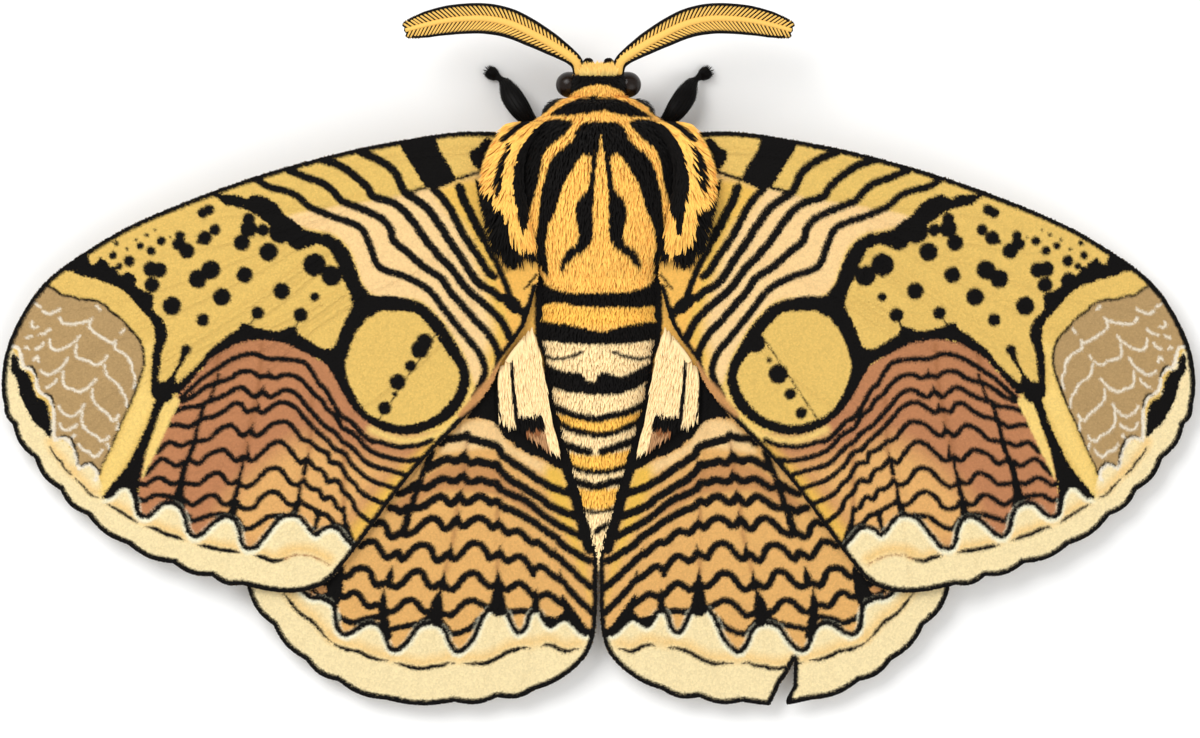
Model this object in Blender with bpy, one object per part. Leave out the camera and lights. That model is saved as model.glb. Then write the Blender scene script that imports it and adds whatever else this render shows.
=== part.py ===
"""A brahmaea hearseyi moth at life size, wings spread, standing on the floor.

+Z is up, the head points to +Y and the right wings to +X. The sizes below are
millimetres. MM turns them into the metres of the meshes. A shape that is
mirrored is described once, for the +X side.
"""
import math
import random

import bmesh
import bpy
from mathutils import Vector
from mathutils.geometry import delaunay_2d_cdt
from mathutils.geometry import intersect_point_line

# Driving dimensions
MM = 0.001
GAP = 0.3
CHORD = 0.1
BODY_SIDES = 22
THORAX_RINGS = 9
SEED = 7

# Each body part is a run of sections: place along Y, half width, lowest and highest Z
THORAX = [(36.0, 8.4, 6.6, 15.4), (34.0, 10.6, 5.0, 17.0), (30.5, 12.3, 3.8, 18.7), (26.0, 12.8, 3.5, 19.4),
          (20.5, 12.3, 3.5, 19.0), (16.0, 11.0, 3.7, 17.8), (12.2, 9.5, 4.0, 16.3)]
COLLAR = [(38.4, 6.8, 7.2, 14.6), (37.4, 8.0, 6.6, 15.5), (36.3, 8.5, 6.6, 15.5)]
HEAD_PLACES = (43.0, 42.6, 41.9, 41.0, 40.0, 38.7)
HEAD = [(43.0, 1.8, 8.4, 11.4), (42.6, 3.2, 7.0, 12.7), (41.9, 4.3, 6.3, 13.6), (40.3, 4.9, 5.9, 14.0),
        (38.7, 4.8, 6.3, 13.6)]
ABDOMEN = [(11.9, 9.2, 3.2, 16.4), (2.1, 9.0, 2.2, 15.4), (-7.0, 7.2, 2.3, 13.4), (-16.2, 4.9, 3.0, 10.7),
           (-25.3, 2.2, 4.2, 8.2), (-30.2, 0.9, 5.2, 7.0), (-31.3, 0.35, 5.7, 6.5)]
ABDOMEN_SEGMENTS = 8
SEGMENT_SWELL = 0.045

# The eyes are domes on the flat sides of the head
HEAD_FLAT = 4.1
EYE_PLACE = (40.7, 9.9)
EYE_RADIUS = 1.95
EYE_BULGE = 2.0
EYE_RINGS = 5
EYE_SIDES = 14

# Wings: the level surface that both pairs follow, a low dome about the wing roots
WING_ROOT = Vector((12.0, 22.0))
WING_TOP = 14.2
WING_DROP = 11.2
WING_REACH = 82.0
WING_CURVE = 1.2
MEMBRANE = 0.55
FORE_LIFT = 0.8
VEIN_HEIGHT = 0.35
VEIN_TAPER = 0.5
VEIN_HALF = 0.5
VEIN_STEP = 5.5
FILL_STEP = 9.0
FILL_GAP = 2.25
MERGE_DISTANCE = 0.02
SCALLOP = 0.7
SCALLOP_SHARE = 0.14
SCALLOP_STOPS = (0.0, 0.28, 0.72)
SHARP_ANGLE = 50.0

FORE_COSTA = [(13.4, 33.3), (20.6, 33.5), (29.2, 32.3), (38.8, 30.4), (52.0, 26.7), (65.9, 21.5), (74.8, 17.0),
              (83.3, 10.8), (88.3, 2.6), (89.6, -3.9), (89.2, -7.3)]
FORE_CUSPS = [(89.2, -7.3), (87.9, -10.2), (84.6, -15.3), (80.8, -20.0), (76.7, -23.8), (70.6, -28.2),
              (63.8, -31.0), (58.0, -32.9), (53.6, -34.2)]
FORE_HIND = [(53.6, -34.2), (49.6, -35.1), (46.0, -35.4), (42.7, -34.8), (40.1, -33.3), (36.2, -28.5),
             (28.0, -17.5), (17.5, -6.3), (14.2, 0.0), (11.2, 4.5), (9.9, 8.4)]
FORE_ROOT_REAR = 12.6
FORE_ROOT_FRONT = 32.0

HIND_FRONT = [(10.4, 13.0), (20.8, 8.4), (32.8, 0.6), (43.3, -9.6), (50.5, -20.1), (53.2, -28.3), (52.6, -34.9)]
HIND_CUSPS = [(52.6, -34.9), (48.8, -40.3), (43.9, -45.6), (39.1, -48.7), (31.9, -51.5), (21.6, -51.8),
              (15.2, -51.1), (9.5, -50.0)]
HIND_REAR = [(9.5, -50.0), (6.8, -49.0), (3.7, -46.9), (1.6, -44.5), (0.6, -41.7)]
HIND_INNER_START = -38.0
HIND_INNER_END = 11.0
HIND_INNER_STEPS = 14
TEAR = [(26.3, -51.2), (27.3, -49.0), (28.3, -47.7), (29.4, -45.5), (29.3, -49.5), (28.3, -51.3), (28.2, -52.2)]
TEAR_TOP = -48.0

CELL_FRONT = [(14.6, 28.0), (21.5, 26.3), (28.0, 24.6), (35.8, 22.7), (39.5, 20.1)]
CELL_REAR = [(13.9, 21.2), (20.8, 16.5), (28.3, 12.6), (34.0, 10.2), (38.0, 9.6)]
FORE_VEINS = [
    CELL_FRONT,
    CELL_REAR,
    [(39.5, 20.1), (39.8, 14.7), (38.0, 9.6)],
    [(17.0, 30.8), (26.8, 30.0), (38.8, 27.9), (49.0, 24.9)],
    [(28.0, 24.6), (40.3, 23.0), (53.8, 21.6), (64.0, 19.7)],
    [(35.8, 22.7), (49.3, 18.6), (62.8, 15.9), (75.0, 14.2)],
    [(39.5, 20.1), (53.0, 15.0), (68.0, 9.6), (82.6, 6.6)],
    [(39.5, 20.1), (52.3, 12.2), (70.3, 3.6), (87.2, -4.6)],
    [(39.8, 16.6), (52.3, 7.7), (70.3, -3.6), (84.8, -12.2)],
    [(39.8, 14.7), (50.8, 6.0), (64.0, -0.8), (74.0, -8.6), (81.0, -17.5)],
    [(38.0, 9.6), (50.5, 3.9), (62.0, -3.3), (67.3, -11.8), (74.0, -24.0)],
    [(38.0, 9.6), (47.8, 2.7), (56.6, -2.4), (60.5, -12.3), (62.9, -22.2), (65.4, -29.0)],
    [(34.0, 10.2), (43.3, 3.9), (49.3, -2.1), (52.7, -13.6), (54.7, -23.2), (56.2, -32.4)],
    [(13.9, 18.2), (21.5, 4.7), (32.0, -4.8), (43.1, -12.7), (44.8, -22.0), (46.2, -34.2)],
]
HIND_CELL_FRONT = [(12.2, 9.4), (19.3, 3.9), (23.8, -2.1)]
HIND_CELL_REAR = [(11.8, 6.2), (16.3, -0.6), (20.8, -7.3)]
HIND_VEINS = [
    HIND_CELL_FRONT,
    HIND_CELL_REAR,
    [(23.8, -2.1), (23.5, -4.8), (20.8, -7.3)],
    [(19.3, 3.9), (29.8, -2.1), (41.8, -12.6), (51.2, -27.5)],
    [(23.8, -2.1), (32.8, -11.1), (43.3, -24.6), (49.6, -37.0)],
    [(23.8, -2.1), (29.8, -14.1), (35.8, -26.1), (40.9, -36.6), (45.2, -42.8)],
    [(20.8, -7.3), (26.3, -16.3), (29.9, -28.0), (32.2, -36.0), (35.0, -49.2)],
    [(20.8, -7.3), (19.9, -14.2), (21.1, -23.8), (23.0, -32.7), (25.6, -43.5)],
    [(16.3, -0.6), (15.1, -18.6), (14.9, -28.5), (15.4, -38.4), (18.0, -50.8)],
    [(11.2, -1.0), (13.0, -12.6), (10.1, -30.0), (9.7, -38.5), (12.0, -49.6)],
    [(10.4, -6.5), (8.9, -18.6), (5.8, -31.0), (5.0, -39.9), (4.9, -46.6)],
]

# Tegulae: pads over the forewing roots: place along Y, outer edge, height above the wing
TEGULA = [(35.2, 11.8, 0.5), (34.0, 13.4, 1.5), (30.0, 15.4, 2.4), (26.0, 16.2, 2.4), (22.0, 15.8, 2.0),
          (18.5, 14.6, 1.4), (16.5, 13.2, 0.6)]
TEGULA_SIDES = 10
TEGULA_ROOT_RISE = 1.3
TEGULA_LOCK_HALF = 1.1
# Roots and tips of the locks that fringe a tegula, seen from above
TEGULA_LOCKS = [((13.6, 31.0), (17.0, 27.2)), ((14.2, 28.4), (17.6, 24.2)), ((14.4, 25.6), (17.6, 20.8)),
                ((14.2, 23.0), (17.0, 17.6)), ((13.6, 20.6), (15.8, 14.8)), ((12.6, 18.6), (13.8, 12.6)),
                ((12.4, 27.0), (14.6, 20.4)), ((12.0, 23.4), (13.2, 16.6))]

# Locks: flat tapered tufts of the coat, in shares of their length, half width and half thickness
LOCK_PLACES = (0.0, 0.3, 0.7, 1.0)
LOCK_WIDTHS = (0.6, 1.0, 0.75, 0.1)
LOCK_THICKS = (1.0, 1.0, 0.8, 0.3)
LOCK_THICK = 0.3
LOCK_LIFTS = (-0.9, 0.4, 0.7, 0.45)
LOCK_RISE = 0.1
VARY = 0.12
LOCK_TURN = 2.0
THORAX_ROWS = [(34.4, 5, 36.0), (30.6, 6, 40.0), (26.4, 7, 42.0), (22.2, 6, 41.0), (18.2, 7, 43.0)]
THORAX_LOCK = (7.6, 1.9)
TAIL_LOCKS = [(-22.5, -28.0), (-22.5, 28.0), (-24.5, 0.0), (-23.5, 152.0), (-23.5, 208.0)]
TAIL_LOCK = (7.6, 0.8)
BROW_LOCKS = (-1.5, -0.5, 0.5, 1.5)
BROW_SPINE = [(0.9, 40.9, 12.9), (1.0, 42.1, 14.1), (1.15, 43.5, 14.0), (1.2, 44.6, 13.4)]
BROW_HALF = 0.75

# Hair panels on the hindwings beside the abdomen: a root bar with locks, seen from above
PANEL_BAR = [(11.0, 2.2), (12.4, 0.6), (13.5, -1.0)]
PANEL_HALF = (0.8, 0.35)
PANEL_LOCKS = [((11.0, 2.0), (8.6, -12.0)), ((11.5, 1.4), (10.1, -12.6)), ((12.1, 0.8), (11.6, -12.0)),
               ((12.6, 0.2), (12.9, -11.0)), ((13.1, -0.5), (14.2, -9.4)), ((13.4, -0.9), (15.0, -7.4))]
PANEL_LOCK_HALF = 1.1

# Antennae: centre line and half widths of the whole comb, then the shaft and the rays
ANTENNA_FOOT = (42.3, 48.0)
ANTENNA_PATH = [(3.5, 44.2, 13.2), (6.1, 46.1, 13.7), (9.8, 48.2, 14.1), (13.3, 49.8, 14.3), (16.7, 50.5, 14.3),
                (20.2, 50.5, 14.1), (23.6, 50.1, 13.7), (27.1, 49.3, 13.1), (28.9, 48.8, 12.8)]
COMB_WIDTHS = [0.0, 1.1, 1.7, 1.95, 2.05, 2.05, 2.0, 1.75, 1.1]
SHAFT_RADII = [0.6, 0.55, 0.45, 0.42, 0.4, 0.38, 0.36, 0.33, 0.3, 0.25]
RAYS = 15
RAY_SLANT = 0.8
RAY_HALVES = [(0.3, 0.27), (0.28, 0.25), (0.2, 0.2)]
RAY_SAG = 0.25
RAY_ROOT = 0.12

# Legs: the root's place under the thorax, then the path with half width and half height at each point
LEG_ROOT_RADIUS = 1.0
LEG_ROOT_BEND = [(0.0, 0.0), (0.45, -0.8), (1.6, -1.5)]
FRONT_LEG = [(6.4, 31.0), (9.2, 34.0, 3.2, 1.0, 0.95), (10.5, 35.5, 4.2, 1.2, 0.8),
             (11.8, 37.2, 4.6, 1.6, 0.7), (13.1, 39.2, 3.9, 1.6, 0.7), (13.9, 40.8, 2.8, 1.0, 0.6),
             (14.4, 41.4, 2.0, 0.45, 0.45), (15.0, 41.9, 1.3, 0.4, 0.4), (15.5, 42.2, 0.95, 0.8, 0.8),
             (16.1, 42.6, 0.85, 1.0, 1.0), (16.7, 43.0, 0.8, 0.8, 0.8)]
MIDDLE_LEG = [(5.4, 25.0), (8.8, 25.1, 2.3, 0.95, 0.9), (12.6, 25.4, 4.4, 0.95, 0.85),
              (15.4, 25.6, 5.6, 0.85, 0.75), (17.0, 25.8, 5.0, 0.8, 0.7), (19.6, 26.0, 2.0, 0.6, 0.6),
              (21.2, 26.2, 0.7, 0.5, 0.5), (24.0, 26.7, 0.45, 0.5, 0.5), (26.4, 27.1, 0.45, 0.5, 0.5),
              (27.3, 27.3, 0.4, 0.35, 0.35)]
HIND_LEG = [(5.2, 18.6), (8.0, 16.4, 2.3, 0.95, 0.9), (11.4, 12.6, 4.2, 0.95, 0.85),
            (13.6, 9.4, 5.4, 0.85, 0.75), (14.8, 7.4, 4.9, 0.8, 0.7), (16.8, 3.2, 2.0, 0.6, 0.6),
            (17.8, 1.0, 0.7, 0.5, 0.5), (19.6, -3.4, 0.45, 0.5, 0.5), (21.2, -8.6, 0.45, 0.5, 0.5),
            (21.8, -10.4, 0.4, 0.35, 0.35)]
LEG_SIDES = 8

# Palps below the front of the head
PALP = [(1.4, 43.45, 8.3, 0.65, 0.6), (1.5, 43.85, 8.6, 0.7, 0.6), (1.6, 44.05, 9.4, 0.55, 0.5),
        (1.65, 44.0, 10.2, 0.3, 0.3)]

# Finishes: sRGB-like base colour, roughness
FINISHES = {
    "thorax_fur": ((0.86, 0.55, 0.17), 0.85),
    "collar_fur": ((0.88, 0.60, 0.22), 0.85),
    "head_fur": ((0.10, 0.08, 0.06), 0.85),
    "eye_cornea": ((0.015, 0.012, 0.010), 0.15),
    "palp_fur": ((0.02, 0.018, 0.015), 0.8),
    "antenna_comb": ((0.80, 0.52, 0.18), 0.6),
    "tegula_fur": ((0.85, 0.58, 0.20), 0.85),
    "abdomen_fur": ((0.90, 0.66, 0.34), 0.85),
    "forewing_scales": ((0.80, 0.55, 0.22), 0.7),
    "hindwing_scales": ((0.72, 0.45, 0.20), 0.7),
    "panel_hair": ((0.95, 0.80, 0.52), 0.85),
    "leg_scales": ((0.02, 0.018, 0.016), 0.7),
}


def clear_scene():
    """Remove every object that the file starts with."""
    for thing in list(bpy.data.objects):
        bpy.data.objects.remove(thing, do_unlink=True)


def finish(name):
    """The Principled material of a finish, made once."""
    if name in bpy.data.materials:
        return bpy.data.materials[name]
    colour, roughness = FINISHES[name]
    material = bpy.data.materials.new(name)
    material.use_nodes = True
    shader = material.node_tree.nodes["Principled BSDF"]
    shader.inputs["Base Color"].default_value = (*colour, 1.0)
    shader.inputs["Roughness"].default_value = roughness
    shader.inputs["Metallic"].default_value = 0.0
    return material


def mesh_of(name, shape, side):
    """A closed mesh from points in millimetres and faces, mirrored to -X where side is -1."""
    points, faces = shape
    mesh = bpy.data.meshes.new(name)
    mesh.from_pydata([(side * x * MM, y * MM, z * MM) for x, y, z in points], [], faces)
    skin = bmesh.new()
    skin.from_mesh(mesh)
    bmesh.ops.recalc_face_normals(skin, faces=skin.faces)
    skin.to_mesh(mesh)
    skin.free()
    return mesh


def keep_largest(mesh):
    """Remove all but the largest closed surface of a mesh."""
    skin = bmesh.new()
    skin.from_mesh(mesh)
    waiting = set(skin.faces)
    surfaces = []
    while waiting:
        surface = [waiting.pop()]
        for face in surface:
            for edge in face.edges:
                for other in edge.link_faces:
                    if other in waiting:
                        waiting.remove(other)
                        surface.append(other)
        surfaces.append(surface)
    surfaces.sort(key=len)
    scraps = [face for surface in surfaces[:-1] for face in surface]
    bmesh.ops.delete(skin, geom=scraps, context="FACES")
    skin.to_mesh(mesh)
    skin.free()


def fuse(node, shapes, side):
    """Join closed shapes to a node with one union on a collection."""
    extras = bpy.data.collections.new(node.name + "_pieces")
    bpy.context.scene.collection.children.link(extras)
    for number, shape in enumerate(shapes):
        name = f"{node.name}_piece_{number}"
        extras.objects.link(bpy.data.objects.new(name, mesh_of(name, shape, side)))
    union = node.modifiers.new("pieces", "BOOLEAN")
    union.operation = "UNION"
    union.operand_type = "COLLECTION"
    union.collection = extras
    union.solver = "EXACT"
    graph = bpy.context.evaluated_depsgraph_get()
    whole = bpy.data.meshes.new_from_object(node.evaluated_get(graph))
    node.modifiers.clear()
    node.data = whole
    for piece in list(extras.objects):
        bpy.data.objects.remove(piece, do_unlink=True)
    bpy.data.collections.remove(extras)
    keep_largest(whole)


def solid(name, shape, finish_name, side=1, pieces=()):
    """A node from a closed shape, with further closed shapes fused to it."""
    node = bpy.data.objects.new(name, mesh_of(name, shape, side))
    bpy.context.collection.objects.link(node)
    if pieces:
        fuse(node, pieces, side)
    node.data.materials.clear()
    node.data.materials.append(finish(finish_name))
    node.data.shade_smooth()
    node.data.set_sharp_from_angle(angle=math.radians(SHARP_ANGLE))
    return node


def smooth_path(points, step):
    """Points about STEP apart on a smooth curve through POINTS, the last one included."""
    path = [Vector(point) for point in points]
    ends = [2 * path[0] - path[1]] + path + [2 * path[-1] - path[-2]]
    curve = []
    for a, b, c, d in zip(ends, ends[1:], ends[2:], ends[3:]):
        count = max(1, round((c - b).length / step))
        for i in range(count):
            t = i / count
            bend = (2 * a - 5 * b + 4 * c - d) * t * t + (3 * b - a - 3 * c + d) * t ** 3
            curve.append(0.5 * (2 * b + (c - a) * t + bend))
    curve.append(path[-1])
    return curve


def section(stations, y):
    """Half width, lowest and highest Z of a body part at Y, smooth between its stations."""
    rows = stations if stations[0][0] < stations[-1][0] else stations[::-1]
    y = min(max(y, rows[0][0]), rows[-1][0])
    last = len(rows) - 1
    i = min(next(k for k in range(last, -1, -1) if rows[k][0] <= y), last - 1)
    t = (y - rows[i][0]) / (rows[i + 1][0] - rows[i][0])

    def slope(k, column):
        lo, hi = max(k - 1, 0), min(k + 1, last)
        return (rows[hi][column] - rows[lo][column]) / (rows[hi][0] - rows[lo][0])

    span = rows[i + 1][0] - rows[i][0]
    values = []
    for column in (1, 2, 3):
        a, b = rows[i][column], rows[i + 1][column]
        m0, m1 = slope(i, column) * span, slope(i + 1, column) * span
        values.append(a * (2 * t ** 3 - 3 * t * t + 1) + m0 * (t ** 3 - 2 * t * t + t)
                      + b * (3 * t * t - 2 * t ** 3) + m1 * (t ** 3 - t * t))
    return values


def half_width_at(stations, y, z):
    """Half width of a body part at Y and Z, where Z may lie above or below its middle."""
    width, low, high = section(stations, y)
    lean = (z - (low + high) / 2) / ((high - low) / 2)
    return width * math.sqrt(max(0.0, 1.0 - lean * lean))


def ring_faces(rings, sides):
    """Quads between rings of points, closed by a flat cap at each end."""
    faces = []
    for r in range(rings - 1):
        for s in range(sides):
            t = (s + 1) % sides
            faces.append((r * sides + s, r * sides + t, (r + 1) * sides + t, (r + 1) * sides + s))
    faces.append(tuple(range(sides)))
    faces.append(tuple(range((rings - 1) * sides, rings * sides)))
    return faces


def body_shape(stations, places, swell=None, flat=None):
    """A body part through its sections at PLACES along Y."""
    points = []
    for y in places:
        width, low, high = section(stations, y)
        grow = swell(y) if swell else 1.0
        middle, half = (low + high) / 2, (high - low) / 2 * grow
        for s in range(BODY_SIDES):
            angle = math.tau * s / BODY_SIDES
            x = width * grow * math.sin(angle)
            if flat:
                x = min(max(x, -flat), flat)
            points.append((x, y, middle + half * math.cos(angle)))
    return points, ring_faces(len(places), BODY_SIDES)


def on_body(stations, y, degrees, lift):
    """The place at Y and at an angle from the top of a body part, LIFT above its surface."""
    width, low, high = section(stations, y)
    angle = math.radians(degrees)
    return Vector(((width + lift) * math.sin(angle), y,
                   (low + high) / 2 + ((high - low) / 2 + lift) * math.cos(angle)))


def spread(first, last, count):
    """COUNT + 1 places at even distances from FIRST to LAST."""
    return [first + (last - first) * i / count for i in range(count + 1)]


def swept(stations, sides, on_floor=False):
    """A tube along a path of (x, y, z, half width, half height), with flat caps."""
    centres = [Vector(row[:3]) for row in stations]
    points = []
    for i, row in enumerate(stations):
        ahead = centres[min(i + 1, len(centres) - 1)] - centres[max(i - 1, 0)]
        across = Vector((ahead.y, -ahead.x, 0.0)).normalized()
        up = across.cross(ahead).normalized()
        for s in range(sides):
            angle = math.tau * s / sides
            point = centres[i] + across * row[3] * math.cos(angle) + up * row[4] * math.sin(angle)
            if on_floor:
                point.z = max(point.z, 0.0)
            points.append(tuple(point))
    return points, ring_faces(len(stations), sides)


def strip(spine, ups, halves):
    """A flat four-sided strip along SPINE, with half width and half thickness at each point."""
    points = []
    for i, (centre, up, (wide, thick)) in enumerate(zip(spine, ups, halves)):
        ahead = (spine[min(i + 1, len(spine) - 1)] - spine[max(i - 1, 0)]).normalized()
        across = ahead.cross(up).normalized() * wide
        rise = across.cross(ahead).normalized() * thick
        points += [tuple(centre + step) for step in (across, rise, -across, -rise)]
    return points, ring_faces(len(spine), 4)


def lock(spine, ups, half_width):
    """A lock of the coat along SPINE, widest near its root and thin at its tip."""
    halves = [(half_width * wide, LOCK_THICK * thick) for wide, thick in zip(LOCK_WIDTHS, LOCK_THICKS)]
    return strip(spine, ups, halves)


def body_lock(stations, y, degrees, length, half_width):
    """A lock that grows from a body part at Y and lies back along it."""
    spine = []
    ups = []
    for share, lift in zip(LOCK_PLACES, LOCK_LIFTS):
        spine.append(on_body(stations, y - length * share, degrees, lift))
        ups.append(Vector((math.sin(math.radians(degrees)), 0.0, math.cos(math.radians(degrees)))))
    return lock(spine, ups, half_width)


def wing_level(x, y):
    """Height of the surface that the wings follow."""
    reach = math.hypot(x - WING_ROOT.x, y - WING_ROOT.y) / WING_REACH
    return WING_TOP - WING_DROP * reach ** WING_CURVE


def scalloped(cusps):
    """The outline through CUSPS, bulging out between each two."""
    outline = []
    for a, b in zip(cusps, cusps[1:]):
        a, b = Vector(a), Vector(b)
        out = Vector((b.y - a.y, a.x - b.x)).normalized()
        bulge = min(SCALLOP, (b - a).length * SCALLOP_SHARE)
        for t in SCALLOP_STOPS:
            outline.append(a.lerp(b, t) - out * bulge * math.sin(math.pi * t))
    return outline


def distance_to(point, lines):
    """Distance from POINT to the nearest of LINES."""
    best = 1e9
    for line in lines:
        for a, b in zip(line, line[1:]):
            hit, t = intersect_point_line(point, a, b)
            hit = a.lerp(b, min(max(t, 0.0), 1.0))
            best = min(best, (point - hit.to_2d()).length)
    return best


def inside(point, outline):
    """Whether POINT lies inside the closed OUTLINE."""
    found = False
    for a, b in zip(outline, outline[1:] + outline[:1]):
        if (a.y > point.y) != (b.y > point.y):
            if point.x < a.x + (b.x - a.x) * (point.y - a.y) / (b.y - a.y):
                found = not found
    return found


def wing_shape(outline, veins, lift):
    """A membrane whose main veins are ridges of its own upper surface."""
    rim = [outline + outline[:1]]
    lines = [smooth_path(vein, VEIN_STEP) for vein in veins]
    points = list(outline)
    edges = []
    for line in lines:
        first = len(points)
        points.extend(line)
        edges.extend((first + i, first + i + 1) for i in range(len(line) - 1))
    for line in lines:
        for i, centre in enumerate(line[:-1]):
            ahead = (line[i + 1] - line[max(i - 1, 0)]).normalized()
            for turn in (1, -1):
                beside = centre + Vector((-ahead.y, ahead.x)) * VEIN_HALF * turn
                others = [other for other in lines if other is not line]
                if distance_to(beside, others) > VEIN_HALF and distance_to(beside, rim) > 2 * VEIN_HALF:
                    if inside(beside, outline):
                        points.append(beside)
    low = Vector((min(p.x for p in outline), min(p.y for p in outline)))
    high = Vector((max(p.x for p in outline), max(p.y for p in outline)))
    for i in range(int((high.x - low.x) / FILL_STEP) + 1):
        for j in range(int((high.y - low.y) / FILL_STEP) + 1):
            fill = low + Vector((i + 0.5 * (j % 2), j)) * FILL_STEP
            if inside(fill, outline) and distance_to(fill, rim + lines) > FILL_GAP:
                points.append(fill)
    around = range(len(outline))
    edges.extend((i, (i + 1) % len(outline)) for i in around)
    flat, _, triangles, *_ = delaunay_2d_cdt(points, edges, [], 0, MERGE_DISTANCE, False)
    triangles = [face for face in triangles if inside(sum((flat[i] for i in face), Vector((0, 0))) / 3, outline)]
    upper = []
    for point in flat:
        taper = 1.0 - VEIN_TAPER * math.hypot(point.x - WING_ROOT.x, point.y - WING_ROOT.y) / WING_REACH
        ridge = VEIN_HEIGHT * taper * max(0.0, 1.0 - distance_to(point, lines) / VEIN_HALF)
        if distance_to(point, rim) < VEIN_HALF:
            ridge = 0.0
        upper.append((point.x, point.y, wing_level(point.x, point.y) + lift + ridge))
    lower = [(point.x, point.y, wing_level(point.x, point.y) + lift - MEMBRANE) for point in flat]
    count = len(upper)
    faces = [tuple(face) for face in triangles]
    faces += [tuple(count + i for i in reversed(face)) for face in triangles]
    borders = {}
    for face in triangles:
        for a, b in zip(face, face[1:] + face[:1]):
            borders[(a, b)] = True
    for a, b in list(borders):
        if (b, a) not in borders:
            faces.append((b, a, count + a))
            faces.append((b, count + a, count + b))
    return upper + lower, faces


def forewing_outline():
    """The forewing's rim, from the front of its root round to the back of its root."""
    rim = smooth_path(FORE_COSTA, 6.0)[:-1] + scalloped(FORE_CUSPS) + smooth_path(FORE_HIND, 5.0)
    root = []
    for y in spread(FORE_ROOT_REAR, FORE_ROOT_FRONT, 5):
        low = wing_level(WING_ROOT.x, y) + FORE_LIFT - MEMBRANE
        root.append(Vector((half_width_at(THORAX, y, low) + GAP + CHORD, y)))
    return rim + root


def hindwing_outline(torn):
    """The hindwing's rim, with a tear in its hind margin where TORN."""
    margin = scalloped(HIND_CUSPS)
    if torn:
        tear = [Vector(point) for point in TEAR]
        before = [point for point in margin if point.x > TEAR[-1][0] or point.y > TEAR_TOP]
        after = [point for point in margin if point.x < TEAR[0][0] and point.y <= TEAR_TOP]
        margin = before + tear[::-1] + after
    inner = []
    for y in spread(HIND_INNER_START, HIND_INNER_END, HIND_INNER_STEPS):
        width = section(ABDOMEN, y)[0] if y > ABDOMEN[-1][0] else 0.0
        inner.append(Vector((max(width * (1 + SEGMENT_SWELL) + GAP, GAP), y)))
    return smooth_path(HIND_FRONT, 6.0)[:-1] + margin + smooth_path(HIND_REAR, 3.5) + inner


def segment_swell(y):
    """How much fuller the abdomen is in the middle of each segment than at its joints."""
    share = (ABDOMEN[0][0] - y) / (ABDOMEN[0][0] - ABDOMEN[-1][0])
    return 1.0 + SEGMENT_SWELL * abs(math.sin(math.pi * share * ABDOMEN_SEGMENTS))


def eye_shape():
    """An eye, a dome with its flat side toward the head."""
    points = []
    for r in range(EYE_RINGS):
        turn = math.pi / 2 * r / EYE_RINGS
        for s in range(EYE_SIDES):
            angle = math.tau * s / EYE_SIDES
            points.append((HEAD_FLAT + GAP + EYE_BULGE * math.sin(turn),
                           EYE_PLACE[0] + EYE_RADIUS * math.cos(turn) * math.cos(angle),
                           EYE_PLACE[1] + EYE_RADIUS * math.cos(turn) * math.sin(angle)))
    return points, ring_faces(EYE_RINGS, EYE_SIDES)


def above_forewing(x, y):
    """Height of the lowest place that clears the forewing and its veins at X, Y."""
    return wing_level(x, y) + FORE_LIFT + VEIN_HEIGHT + GAP


def tegula_shape():
    """A pad over the root of a forewing, beside the thorax."""
    points = []
    for y, outer, height in TEGULA:
        low = above_forewing(WING_ROOT.x, y)
        inner = half_width_at(THORAX, y, low) + GAP
        for s in range(TEGULA_SIDES):
            angle = math.tau * s / TEGULA_SIDES
            points.append(((inner + outer) / 2 + (outer - inner) / 2 * math.cos(angle), y,
                           low + height / 2 + height / 2 * math.sin(angle)))
    return points, ring_faces(len(TEGULA), TEGULA_SIDES)


def lying_lock(root, tip, heights, half_width):
    """A lock seen from above as a line from ROOT to TIP, at a height for each of its points."""
    spine = []
    for share, height in zip(LOCK_PLACES, heights):
        place = Vector(root).lerp(Vector(tip), share)
        spine.append(Vector((place.x, place.y, height(place.x, place.y))))
    return lock(spine, [Vector((0.0, 0.0, 1.0))] * len(spine), half_width)


def tegula_locks():
    """The locks that fringe a tegula, which lie out and back over the forewing."""
    def resting(x, y):
        return above_forewing(x, y) + LOCK_THICK + LOCK_RISE

    def rooted(x, y):
        return above_forewing(x, y) + TEGULA_ROOT_RISE

    heights = (rooted, rooted, resting, resting)
    return [lying_lock(root, tip, heights, TEGULA_LOCK_HALF) for root, tip in TEGULA_LOCKS]


def panel_shapes():
    """The hair panel beside the abdomen: its root bar, then its locks, which lie on the hindwing."""
    def bar_level(x, y):
        return wing_level(x, y) + GAP + PANEL_HALF[1] + LOCK_RISE

    bar = swept([(x, y, bar_level(x, y), *PANEL_HALF) for x, y in PANEL_BAR], LEG_SIDES)
    return bar, [lying_lock(root, tip, [bar_level] * 4, PANEL_LOCK_HALF) for root, tip in PANEL_LOCKS]


def thorax_locks(rng):
    """Rows of locks over the back of the thorax, each row over the roots of the one behind."""
    length, half = THORAX_LOCK
    locks = []
    for y, count, reach in THORAX_ROWS:
        for degrees in spread(-reach, reach, count - 1):
            vary = 1.0 + rng.uniform(-VARY, VARY)
            turn = degrees + rng.uniform(-LOCK_TURN, LOCK_TURN)
            locks.append(body_lock(THORAX, y, turn, length * vary, half))
    return locks


def brow_locks():
    """The tuft between the antennae, which stands forward from the head."""
    locks = []
    for x in BROW_LOCKS:
        spine = [Vector((x * share, y, z)) for share, y, z in BROW_SPINE]
        locks.append(lock(spine, [Vector((0.0, 0.0, 1.0))] * len(spine), BROW_HALF))
    return locks


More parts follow.
